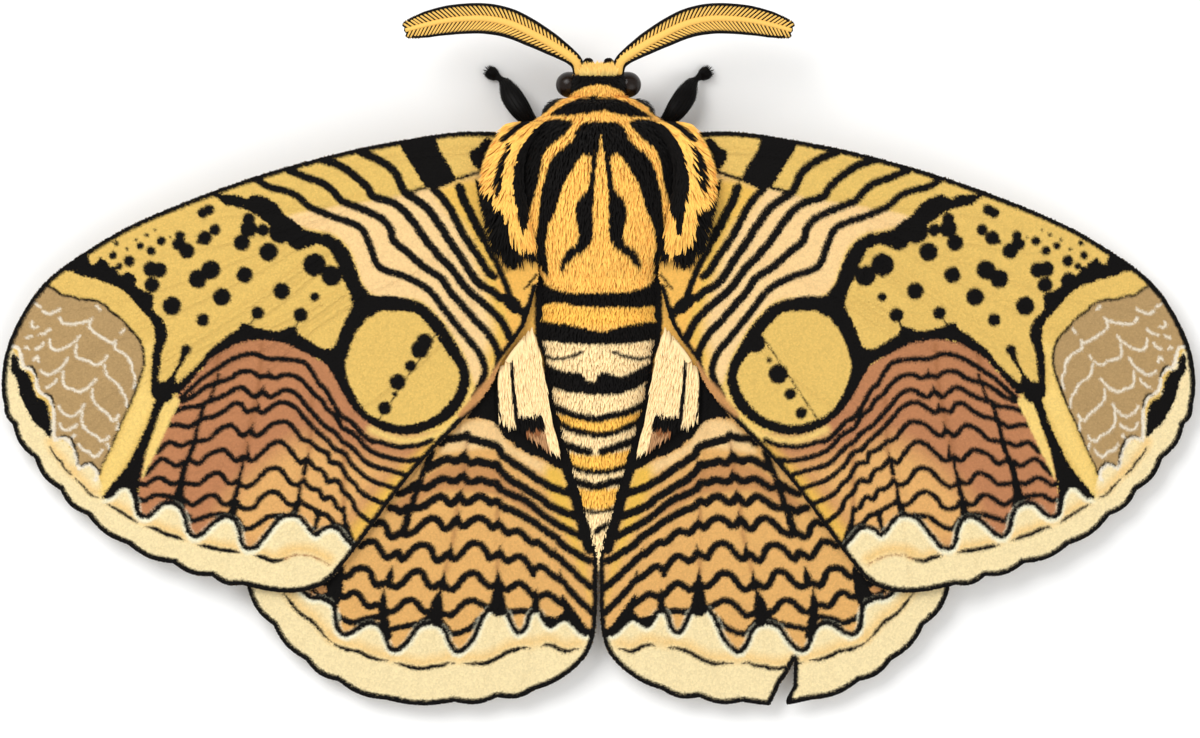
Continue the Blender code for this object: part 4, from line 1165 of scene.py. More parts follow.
    FAN_LINES = (
        pairs(
            181, 397, 193, 387, 200, 380, 212, 372, 221, 366, 233, 359, 244, 355, 255, 354, 263, 357, 269,
            359, 280, 359, 293, 360, 305, 363, 312, 371, 319, 383, 327, 391, 333, 403, 342, 416, 352, 422,
            359, 430, 370, 440, 380, 442, 389, 445, 400, 447, 410, 446, 420, 445, 432, 440),
        pairs(
            182, 401, 194, 396, 204, 388, 215, 383, 224, 381, 233, 377, 240, 372, 253, 372, 260, 377, 269,
            375, 275, 378, 283, 375, 291, 375, 299, 378, 306, 384, 314, 394, 322, 400, 327, 409, 336, 416,
            342, 427, 352, 433, 358, 438, 364, 445, 371, 451, 380, 455, 390, 458, 400, 460, 410, 461, 418,
            459),
        pairs(
            174, 412, 184, 408, 199, 406, 204, 403, 216, 399, 227, 394, 237, 388, 244, 388, 250, 394, 256,
            397, 263, 391, 268, 397, 275, 395, 284, 390, 291, 391, 299, 396, 306, 405, 315, 415, 324, 425,
            336, 433, 342, 441, 350, 446, 359, 455, 365, 461, 371, 465, 380, 468, 389, 470, 398, 473, 407,
            475),
        pairs(
            168, 425, 178, 425, 188, 427, 197, 422, 206, 418, 215, 416, 224, 411, 233, 404, 241, 404, 247,
            412, 256, 409, 262, 413, 269, 409, 278, 403, 287, 403, 296, 408, 303, 416, 311, 425, 319, 433,
            328, 441, 336, 450, 343, 452, 348, 458, 352, 465, 359, 471, 366, 477, 375, 482, 385, 485, 394,
            488),
        pairs(
            157, 452, 167, 443, 173, 443, 180, 446, 188, 443, 200, 441, 209, 439, 219, 430, 230, 425, 237,
            430, 243, 436, 250, 431, 255, 436, 262, 433, 271, 425, 280, 422, 287, 422, 294, 428, 302, 439,
            309, 441, 315, 446, 322, 451, 328, 453, 330, 462, 338, 463, 343, 469, 348, 478, 355, 484, 360,
            491, 368, 497, 375, 500, 384, 504),
        pairs(
            145, 474, 151, 468, 157, 462, 163, 459, 176, 466, 183, 462, 192, 461, 197, 464, 202, 461, 208,
            455, 221, 450, 226, 451, 236, 461, 242, 457, 251, 461, 257, 457, 264, 451, 270, 445, 276, 442,
            281, 442, 286, 445, 291, 451, 296, 458, 301, 463, 307, 459, 315, 468, 322, 470, 326, 477, 328,
            482, 335, 480, 340, 484, 343, 491, 352, 500, 356, 510, 361, 515, 370, 522),
        pairs(
            140, 484, 145, 485, 151, 481, 157, 478, 163, 479, 170, 484, 177, 483, 189, 484, 199, 484, 206,
            478, 213, 474, 218, 473, 222, 475, 226, 481, 231, 484, 237, 481, 240, 484, 246, 487, 254, 483,
            260, 477, 267, 470, 274, 468, 280, 469, 284, 474, 289, 481, 295, 485, 300, 484, 304, 480, 307,
            485, 312, 489, 319, 490, 323, 499, 329, 497, 334, 500, 337, 507, 344, 512),
        pairs(
            139, 500, 144, 501, 151, 497, 157, 495, 170, 497, 186, 501, 191, 505, 197, 503, 204, 498, 211,
            495, 217, 497, 221, 503, 226, 505, 231, 502, 237, 502, 240, 507, 246, 509, 254, 507, 259, 500,
            267, 493, 275, 492, 281, 496, 285, 501, 291, 505, 297, 504, 300, 501, 304, 504, 315, 510, 318,
            515, 325, 514, 334, 523, 341, 527, 347, 534),
        pairs(
            188, 516, 192, 521, 205, 517, 213, 515, 221, 514, 230, 515, 238, 520, 242, 527, 248, 529, 255,
            526, 262, 521, 267, 517, 275, 516, 283, 515))
    FAN_VEINS = (
        ((3.0, 3.5, 4.5, 5.0, 6.0, 7.0, 15.0), pairs(
            219, 374, 212, 394, 204, 406, 199, 422, 196, 433, 193, 447, 185, 466, 182, 479, 179, 492, 178,
            506)),
        ((3.0, 4.0, 5.0, 7.0, 10.0), pairs(244, 455, 242, 468, 239, 479, 237, 491, 234, 501, 232, 518)),
        ((1.0, 6.0), pairs(309, 452, 304, 473)), ((3.0, 6.0, 9.0), pairs(300, 488, 298, 504, 293, 516)),
        ((6.0, 5.0), pairs(319, 512, 315, 528)), ((4.0, 6.0, 7.0),
        pairs(344, 508, 345, 521, 348, 530, 352, 542)),
        ((1.0, 5.0), pairs(269, 369, 269, 377)), ((1.0, 5.0), pairs(264, 385, 263, 393)),
        ((1.0, 5.0), pairs(259, 401, 258, 410)), ((1.0, 5.0), pairs(253, 422, 252, 433)),
        ((1.0, 5.0), pairs(248, 443, 248, 459)))
    CREASES = (pairs(262, 345, 258, 390, 250, 430, 243, 462), pairs(312, 400, 309, 454, 300, 490),
               pairs(345, 440, 344, 480, 344, 510), pairs(219, 352, 212, 394))
    DASHES = (
        (2.5, pairs(49, 447, 54, 456, 60, 462, 65, 470, 72, 476)),
        (2.5, pairs(74, 478, 83, 487, 90, 495, 98, 498)),
        (3.5, pairs(106, 504, 115, 509, 123, 514, 131, 519, 137, 523)),
        (4.5, pairs(145, 527, 155, 529, 165, 534, 175, 537, 185, 541)),
        (4.5, pairs(197, 545, 208, 547, 221, 550, 231, 551, 240, 553)),
        (4.5, pairs(254, 556, 262, 557, 273, 561, 285, 559)))
    MARGIN_LINE = pairs(285, 559, 290, 556, 299, 555, 310, 556, 320, 560, 329, 565)

    def paint(self, plan: Plan) -> None:
        """Lay the markings from the ground up."""
        self.paint_grounds(plan)
        self.paint_fan(plan)
        self.paint_margin(plan)
        self.paint_apex(plan)
        self.paint_bands(plan)

    def paint_grounds(self, plan: Plan) -> None:
        """Lay the pale disc between costa and hind margin, golden at the wing's root."""
        plan.fill(self.DISC, Ink.PEACH, soft=3.0)
        plan.fill(self.BASE_GOLD, Ink.GOLD, 0.9, soft=14.0)
        plan.fill(self.ROOT_GOLD, Ink.THORAX_GOLD, soft=4.0)

    def paint_fan(self, plan: Plan) -> None:
        """Lay the brown fan with its wavy lines and veins, and painted shade along its creases."""
        plan.fill(self.FAN, Ink.BROWN)
        plan.fill(self.FAN_PALE, Ink.ORANGE, 0.9, soft=30.0)
        # Painted shade: soft brown strokes darken the fan along its creases
        for crease_shade in self.CREASES:
            plan.stroke(crease_shade, 5.0, Ink.CREASE, 0.55, soft=4.0)
        plan.stroke(self.HIND_STRIP, 14.0, Ink.GOLD, 0.9, soft=12.0)
        plan.stroke(self.UNDER_RING, 9.0, Ink.YELLOW, 0.9, soft=8.0)
        for line in self.FAN_LINES:
            plan.stroke(line, 5.6, Ink.BLACK)
        for widths, vein in self.FAN_VEINS:
            plan.stroke(vein, widths, Ink.BLACK)

    def paint_fringe(self, plan: Plan) -> None:
        """Lay the fringe of the hind edge, gold at the root and brown behind it."""
        plan.stroke(self.ROOT_FRINGE, 7.0, Ink.THORAX_GOLD, soft=2.5)
        plan.stroke(self.HIND_FRINGE, (7.0, 11.0, 4.0), Ink.CELL_BROWN, soft=3.0)

    def paint_margin(self, plan: Plan) -> None:
        """Lay the cream margin, its scallops and dashes."""
        plan.fill(np.vstack([self.SCALLOPS, self.MARGIN]), Ink.CREAM, smooth=False)
        for _, dash in self.DASHES:
            plan.stroke(dash - np.array([0.0, 5.0]), 8.0, Ink.APRICOT, 0.95, soft=9.0)
        plan.stroke(self.MARGIN_LINE - np.array([0.0, 6.0]), 10.0, Ink.APRICOT, 0.95, soft=9.0)
        plan.stroke(self.SCALLOPS, 8.0, Ink.HALO, soft=3.0)
        plan.stroke(self.SCALLOPS - np.array([0.0, 2.4]), 5.2, Ink.BLACK)
        for width, dash in self.DASHES:
            plan.stroke(dash, (0.8, width, width, width, 0.8), Ink.BLACK)
        plan.stroke(self.MARGIN_LINE, (1.6, 1.2), Ink.CREASE, 0.8)

    def paint_apex(self, plan: Plan) -> None:
        """Lay the tan tip with its white chevrons and black lens."""
        plan.fill(self.YELLOW_STRIP, Ink.YELLOW, soft=6.0)
        plan.fill(self.SLIVER, Ink.YELLOW, soft=1.0)
        plan.fill(np.vstack([self.TAN_LINE, self.TAN_EDGE]), Ink.TAN, smooth=False)
        plan.stroke(self.TAN_LINE, (3.0, 2.8, 2.8, 2.4, 1.6), Ink.BLACK)
        for mark in self.CHEVRONS:
            plan.stroke(mark, 2.4, Ink.PALE, 0.95)
        for band in self.WHITE_BAND:
            plan.stroke(band, 3.5, Ink.PALE)
        plan.fill(self.LENS, Ink.BLACK)
        for mark in self.CRESCENTS:
            plan.stroke(mark, (1.5, 2.8, 1.5), Ink.BLACK)

    def paint_bands(self, plan: Plan) -> None:
        """Lay the spots, the black bands, the eyespot and the stripes of the root."""
        for stalk in self.STALKS:
            plan.stroke(stalk, 2.0, Ink.BLACK)
        for shape in (self.OUTER_BAND, self.KNOB, self.DIAGONAL, self.DOME_BAND):
            plan.fill(shape, Ink.BLACK)
        plan.fill(self.RING, Ink.BLACK)
        plan.fill(self.EYESPOT, Ink.MUSTARD)
        plan.fill(self.MEDIAN, Ink.BLACK, smooth=False)
        plan.stroke(self.EYE_LINE, 1.4, Ink.BLACK)
        for u, v, radius in self.SPOTS + self.EYE_SPOTS[self.side]:
            plan.disc(u, v, radius, Ink.BLACK)
        for width, stripe in self.STRIPES:
            plan.stroke(stripe, width + 1.6, Ink.BLACK)
        for block in self.BLOCKS:
            plan.fill(block, Ink.BLACK)


@dataclass
class HindwingMarks:
    """The hindwing's markings on the sheet, as flat runs of u and v."""

    side: Side

    PEACH_ROW = pairs(
        445, 440, 466, 420, 490, 418, 500, 424, 512, 443, 540, 458, 560, 470, 566, 486, 530, 470, 500, 452,
        470, 452, 440, 455)
    BROWN_ROWS = pairs(
        385, 510, 425, 474, 440, 464, 465, 460, 500, 466, 530, 496, 552, 520, 535, 518, 500, 500, 480, 496,
        440, 495, 405, 515)
    GOLD_ROWS = pairs(
        545, 462, 568, 470, 582, 530, 592, 580, 596, 630, 586, 600, 570, 555, 552, 515, 540, 480)
    ROWS = (
        (7.8, pairs(
            441, 443, 446, 439, 458, 438, 464, 437, 467, 435, 471, 439, 476, 440, 486, 443, 496, 446, 500,
            450, 503, 456, 508, 459, 513, 463, 520, 467, 526, 471, 532, 475, 537, 479, 543, 482, 549, 486,
            556, 489, 562, 491, 572, 494)),
        (7.8, pairs(
            427, 469, 438, 463, 443, 460, 449, 459, 455, 461, 461, 459, 464, 456, 468, 461, 473, 463, 478,
            461, 483, 463, 488, 463, 492, 465, 497, 464, 500, 470, 508, 478, 514, 482, 520, 485, 526, 489,
            537, 496, 542, 499, 547, 504, 553, 507, 559, 510, 566, 513, 577, 517)),
        (7.2, pairs(
            398, 494, 404, 492, 411, 488, 417, 484, 426, 488, 436, 482, 441, 479, 446, 479, 451, 481, 456,
            481, 464, 476, 467, 481, 473, 482, 478, 480, 483, 480, 489, 483, 497, 483, 500, 489, 510, 494,
            522, 499, 533, 506, 543, 515, 550, 520, 562, 527, 570, 531, 584, 538)),
        (7.4, pairs(
            390, 508, 396, 509, 400, 512, 407, 508, 418, 508, 424, 506, 430, 502, 441, 496, 446, 500, 451,
            504, 456, 500, 460, 496, 464, 502, 469, 502, 475, 498, 480, 496, 486, 499, 491, 503, 497, 501,
            503, 507, 514, 511, 525, 517, 537, 524, 543, 529, 549, 533, 555, 537, 561, 543, 567, 548, 574,
            552, 580, 556, 589, 561)),
        (7.0, pairs(
            374, 524, 381, 522, 386, 526, 388, 534, 393, 537, 400, 533, 406, 535, 414, 532, 420, 526, 427,
            520, 433, 518, 438, 520, 442, 526, 446, 529, 452, 525, 457, 519, 461, 526, 465, 526, 471, 521,
            477, 518, 483, 519, 488, 523, 493, 528, 499, 524, 504, 530, 508, 533, 517, 531, 523, 534, 528,
            540, 532, 543, 537, 542, 546, 549, 553, 555, 558, 557, 567, 566, 573, 571, 580, 578, 592, 588)),
        (6.6, pairs(
            360, 546, 368, 542, 375, 542, 380, 549, 385, 557, 390, 557, 398, 552, 402, 560, 411, 551, 418,
            546, 426, 545, 431, 549, 433, 555, 437, 561, 442, 559, 447, 554, 453, 559, 456, 559, 461, 554,
            468, 546, 474, 543, 481, 545, 486, 551, 490, 558, 500, 553, 503, 558, 508, 561, 518, 556, 523,
            558, 528, 564, 533, 571, 538, 567, 543, 567, 553, 576, 563, 582, 568, 588, 573, 594, 579, 600,
            592, 613)),
        (6.6, pairs(
            340, 574, 347, 577, 354, 570, 362, 568, 369, 571, 372, 577, 374, 583, 378, 586, 384, 583, 395,
            587, 400, 585, 405, 580, 411, 574, 418, 571, 423, 574, 426, 581, 430, 587, 435, 587, 441, 583,
            451, 590, 458, 585, 464, 577, 470, 573, 477, 574, 482, 580, 487, 585, 492, 587, 499, 584, 504,
            589, 508, 590, 518, 583, 524, 586, 529, 591, 535, 597, 541, 596, 547, 594, 553, 597, 559, 602,
            565, 606)),
        (6.2, pairs(
            338, 597, 346, 597, 352, 593, 358, 594, 365, 604, 370, 607, 376, 605, 382, 606, 387, 612, 392,
            612, 398, 608, 404, 602, 411, 600, 417, 603, 424, 612, 437, 611, 449, 616, 454, 613, 460, 607,
            467, 602, 474, 601, 482, 605, 490, 608, 500, 608, 508, 612, 515, 612, 522, 611, 530, 612, 536,
            606)),
        (5.6, pairs(
            337, 616, 346, 621, 353, 623, 360, 621, 370, 618, 380, 618, 388, 629, 398, 628, 407, 626, 418,
            624, 428, 618, 437, 618, 445, 627, 450, 633, 456, 634, 464, 631, 472, 627, 478, 620)))
    VEINS = (
        ((8.0, 6.0, 4.0, 5.0), pairs(338, 572, 337, 592, 335, 612, 337, 628)),
        ((8.0, 7.0, 7.0, 7.0, 8.0, 9.0), pairs(432, 452, 421, 478, 415, 496, 409, 512, 406, 524, 403, 533)),
        ((1.0, 9.0, 1.0), pairs(392, 566, 389, 582, 387, 588)), ((1.0, 9.0, 10.0, 8.0),
        pairs(384, 588, 383, 600, 383, 615, 388, 636)),
        ((1.0, 6.0), pairs(466, 449, 464, 458)), ((1.0, 6.0), pairs(465, 470, 464, 478)),
        ((1.0, 6.0), pairs(461, 489, 461, 499)), ((1.0, 7.0), pairs(459, 511, 458, 524)),
        ((1.0, 8.0), pairs(451, 543, 451, 557)), ((1.0, 9.0), pairs(444, 571, 443, 587)),
        ((1.0, 13.0, 14.0), pairs(441, 588, 437, 604, 436, 620)),
        ((1.0, 5.0), pairs(499, 517, 499, 526)), ((1.0, 6.0), pairs(500, 545, 499, 556)),
        ((1.0, 7.0, 13.0, 18.0), pairs(498, 569, 498, 584, 498, 596, 498, 608)),
        ((1.0, 6.0), pairs(534, 564, 533, 575)), ((2.0, 8.0, 8.0), pairs(536, 590, 536, 600, 536, 610)),
        ((1.0, 4.0), pairs(555, 548, 556, 556)), ((1.0, 5.0), pairs(560, 570, 561, 580)))
    BLACK_MASS = pairs(
        562, 594, 569, 603, 575, 611, 580, 618, 585, 625, 593, 632, 592, 637, 584, 636, 577, 630, 572, 625,
        566, 621, 560, 622, 551, 628, 546, 625, 541, 616, 549, 616, 556, 617, 563, 611, 561, 602)
    FRONT_MASS = pairs(
        344, 566, 331, 572, 310, 590, 303, 592, 308, 598, 313, 600, 325, 600, 333, 606, 341, 600)
    FRONT_CELLS = (pairs(315, 589, 322, 585, 327, 590, 322, 594),
    pairs(308, 591, 311, 592, 315, 597, 310, 597))
    CREASES = (pairs(467, 438, 466, 450), pairs(464, 462, 464, 472), pairs(458, 502, 456, 516),
               pairs(455, 530, 452, 544), pairs(448, 558, 445, 572), pairs(498, 505, 497, 520),
               pairs(498, 558, 497, 572))
    SCALLOPS = pairs(
        300, 590, 307, 597, 313, 600, 320, 600, 331, 605, 334, 610, 335, 617, 336, 626, 338, 632, 342, 636,
        346, 637, 351, 635, 357, 631, 363, 627, 370, 625, 376, 626, 381, 630, 384, 636, 389, 649, 393, 652,
        398, 652, 403, 648, 408, 643, 412, 637, 417, 630, 424, 626, 431, 625, 437, 626, 442, 630, 446, 635,
        449, 644, 455, 653, 459, 654, 464, 651, 469, 646, 474, 639, 478, 630, 482, 620, 487, 613, 492, 610,
        499, 610, 504, 612, 508, 617, 511, 625, 515, 632, 519, 635, 524, 632, 527, 626, 529, 618, 533, 613,
        536, 612, 540, 614, 546, 625, 551, 628, 560, 622, 567, 621, 577, 630, 581, 634, 585, 636, 597, 632)
    MARGIN = pairs(605, 700, 500, 720, 400, 725, 300, 690, 230, 620, 225, 570, 300, 575)
    DASHES = (
        (3.8, pairs(282, 592, 289, 601, 296, 610, 304, 617, 312, 622, 319, 630, 324, 636, 331, 643)),
        (4.0, pairs(331, 643, 338, 647, 347, 650, 358, 652, 368, 657, 378, 660, 388, 661)),
        (4.2, pairs(393, 663, 402, 665, 412, 668, 424, 669, 432, 667, 442, 666, 448, 663, 455, 664)),
        (4.4, pairs(
            463, 664, 472, 664, 482, 664, 490, 662, 500, 657, 508, 652, 516, 650, 523, 648, 531, 649)),
        (4.0, pairs(541, 647, 546, 645, 553, 646, 560, 650, 567, 652, 573, 650, 579, 649)))
    BESIDE_BODY = pairs(
        541, 262, 541, 300, 541, 325, 543, 342, 549, 358, 550, 380, 553, 400, 557, 420, 562, 440, 567, 460,
        572, 480, 580, 512, 590, 548)
    BAND = pairs(
        466, 419, 470, 411, 479, 399, 497, 372, 500, 368, 540, 400, 560, 440, 572, 478, 571, 494, 561, 469,
        555, 468, 550, 464, 541, 458, 530, 455, 521, 449, 516, 448, 512, 442, 505, 439, 499, 429, 492, 421,
        480, 418)

    def paint(self, plan: Plan) -> None:
        """Lay the markings from the ground up."""
        plan.fill(pairs(200, 380, 620, 380, 620, 700, 200, 700), Ink.CELL, smooth=False)
        plan.fill(pairs(480, 200, 620, 200, 620, 380, 480, 380), Ink.THORAX_GOLD, smooth=False)
        plan.fill(self.BROWN_ROWS, Ink.CELL_BROWN, soft=6.0)
        plan.fill(self.PEACH_ROW, Ink.PEACH, 0.9, soft=5.0)
        plan.fill(self.GOLD_ROWS, Ink.GOLD, soft=10.0)
        # Painted shade: soft brown strokes darken the hindwing along its creases
        for crease_shade in self.CREASES:
            plan.stroke(crease_shade, 4.0, Ink.CREASE, 0.5, soft=3.0)
        for width, row in self.ROWS:
            plan.stroke(row, width + 0.9, Ink.BLACK)
        plan.fill(self.FRONT_MASS, Ink.BLACK)
        for cell in self.FRONT_CELLS:
            plan.fill(cell, Ink.CELL_BROWN)
        plan.fill(np.vstack([self.SCALLOPS, self.MARGIN]), Ink.CREAM, smooth=False)
        for _, dash in self.DASHES:
            plan.stroke(dash - np.array([0.0, 6.0]), 9.0, Ink.APRICOT, 0.95, soft=11.0)
        plan.stroke(self.SCALLOPS, 8.0, Ink.HALO, soft=3.0)
        plan.stroke(self.SCALLOPS - np.array([0.0, 2.0]), 5.4, Ink.BLACK)
        for width, dash in self.DASHES:
            plan.stroke(dash, (0.8, width, width, width, 0.8), Ink.BLACK)
        plan.fill(self.BLACK_MASS, Ink.BLACK)
        for widths, vein in self.VEINS:
            plan.stroke(vein, widths, Ink.BLACK)
        plan.fill(self.BAND, Ink.BLACK, smooth=False)
        plan.stroke(self.BESIDE_BODY, 13.0, Ink.BLACK)


def triangles_of_rings(rings: int, sides: int) -> np.ndarray:
    """Triangles between rings of points, with a fan over each end.

    Args:
        rings: How many rings there are, in order.
        sides: How many points each has.

    Returns:
        Rows of three point numbers.
    """
    r, s = np.meshgrid(np.arange(rings - 1), np.arange(sides), indexing="ij")
    a = (r * sides + s).ravel()
    b = (r * sides + (s + 1) % sides).ravel()
    walls = np.vstack([np.column_stack([a, b, b + sides]), np.column_stack([a, b + sides, a + sides])])
    fan = np.arange(1, sides - 1)
    first = np.column_stack([np.zeros_like(fan), fan + 1, fan])
    end = (rings - 1) * sides
    last = np.column_stack([np.full_like(fan, end), end + fan, end + fan + 1])
    return np.vstack([walls, first, last])


def tube(path: np.ndarray, wide: np.ndarray, high: np.ndarray, sides: int) -> tuple[np.ndarray, np.ndarray]:
    """A closed tube along a path, level across its width.

    Args:
        path: Its centre line.
        wide: Half width at each point.
        high: Half height at each point.
        sides: Points around it.

    Returns:
        The tube's points and triangles.
    """
    ahead = np.gradient(path, axis=0)
    across = unit(np.column_stack([ahead[:, 1], -ahead[:, 0], np.zeros(len(path))]))
    up = unit(np.cross(across, ahead))
    angle = math.tau * np.arange(sides) / sides
    ring = (across[:, None] * (wide[:, None] * np.cos(angle))[..., None]
            + up[:, None] * (high[:, None] * np.sin(angle))[..., None])
    return (path[:, None] + ring).reshape(-1, 3), triangles_of_rings(len(path), sides)


def tube_fur(path: np.ndarray, wide: np.ndarray, high: np.ndarray, length: float, ink: Ink,
             side: Side) -> Coat:
    """Short tufts all over a tube, lying towards its end, mirrored for the left side.

    Args:
        path: The tube's centre line.
        wide: Half width at each point.
        high: Half height at each point.
        length: Length of the tufts.
        ink: Their colour.
        side: The side of the animal.

    Returns:
        The coat, none of it under the floor.
    """
    sides = 18
    roots, _ = tube(path, wide, high, sides)
    rng = np.random.default_rng(SEED + 60)
    up = unit(roots - np.repeat(path, sides, axis=0))
    along = unit(np.repeat(np.gradient(path, axis=0), sides, axis=0))
    along += rng.normal(0.0, 0.12, along.shape)
    maps = np.column_stack([np.tile(np.arange(sides) / sides, len(path)) * 0.3,
                            np.repeat(np.linspace(0, 1, len(path)), sides)]) * 0.96 + 0.02
    lowest = roots[:, 2] + 1.3 * length * np.minimum(along[:, 2], 0.0) + 0.15 * np.minimum(up[:, 2], 0.0)
    clear = lowest > 0.03
    roots, up, along, maps = roots[clear], up[clear], along[clear], maps[clear]
    count = len(roots)
    mirror = mirror_to(side)
    return Coat(roots * mirror, along * mirror, up * mirror, length * rng.uniform(0.7, 1.2, count),
                np.full(count, 0.08), 0.12 * rng.uniform(0.6, 1.2, count),
                ink.light * rng.uniform(0.8, 1.6, (count, 1)), maps, HAIR)


class Batch:
    """Small shapes gathered into one mesh."""

    def __init__(self) -> None:
        """Start empty."""
        self.points: list[np.ndarray] = []
        self.faces: list[np.ndarray] = []
        self.light: list[np.ndarray] = []
        self.count = 0

    def add(self, points: np.ndarray, faces: np.ndarray, light: np.ndarray) -> None:
        """Add a shape with one colour, or one for each of its points."""
        self.points.append(points)
        self.faces.append(faces + self.count)
        self.light.append(np.broadcast_to(light, points.shape))
        self.count += len(points)

    def build(self, name: str, material: bpy.types.Material, side: Side | None = None) -> bpy.types.Object:
        """Make the mesh, mirrored for the left side."""
        points, faces = np.vstack(self.points), np.vstack(self.faces)
        if side is Side.LEFT:
            points = points * mirror_to(side)
            faces = faces[:, ::-1]
        return make_object(name, points, faces, material, np.vstack(self.light))


@dataclass(frozen=True)
class Hull:
    """The body's form: sections of half width, lowest and highest Z along Y."""

    head: tuple = ((43.0, 1.8, 8.4, 11.4), (42.6, 3.2, 7.0, 12.7), (41.9, 4.3, 6.3, 13.6),
                   (40.3, 4.9, 5.9, 14.0), (38.7, 4.8, 6.3, 13.6))
    collar: tuple = ((38.4, 6.8, 7.2, 14.6), (37.4, 8.0, 6.6, 15.5), (36.3, 8.5, 6.6, 15.5))
    thorax: tuple = ((36.0, 8.4, 6.6, 15.4), (34.0, 10.6, 5.0, 17.0), (30.5, 12.3, 3.8, 18.7),
                     (26.0, 12.8, 3.5, 19.4), (20.5, 12.3, 3.5, 19.0), (16.0, 11.0, 3.7, 17.8),
                     (12.2, 9.5, 4.0, 16.3))
    abdomen: tuple = ((11.9, 9.2, 3.2, 16.4), (2.1, 9.0, 2.2, 15.4), (-7.0, 7.2, 2.3, 13.4),
                      (-16.2, 4.9, 3.0, 10.7), (-25.3, 2.2, 4.2, 8.2), (-30.2, 0.9, 5.2, 7.0),
                      (-31.3, 0.35, 5.7, 6.5))
    flat: float = 4.1
    flat_from: float = 38.5
    segments: int = 8
    swell: float = 0.045
    inset: float = 0.35

    def sections(self, y: np.ndarray) -> np.ndarray:
        """Half width, middle height and half height at places along Y, swollen at the segments."""
        table = []
        for part in (self.head, self.collar, self.thorax, self.abdomen):
            table.append(smooth_line(part, 0.3))
        rows = np.vstack(table)[::-1]
        rows = rows[np.argsort(rows[:, 0], kind="stable")]
        wide, low, high = (np.interp(y, rows[:, 0], rows[:, i]) for i in (1, 2, 3))
        first, last = self.abdomen[0][0], self.abdomen[-1][0]
        share = np.clip((first - y) / (first - last), 0.0, 1.0)
        grow = 1.0 + self.swell * np.abs(np.sin(math.pi * share * self.segments))
        return np.column_stack([wide * grow, (low + high) / 2, (high - low) / 2 * grow])

    def surface(self, y: np.ndarray, angle: np.ndarray, lift: float) -> np.ndarray:
        """Places on the hull, raised by a lift, at angles from its top."""
        wide, middle, half = self.sections(y).T
        x = (wide + lift) * np.sin(angle)
        limit = np.where(y > self.flat_from, self.flat + lift, 99.0)
        return np.column_stack([np.clip(x, -limit, limit), y, middle + (half + lift) * np.cos(angle)])


HULL = Hull()


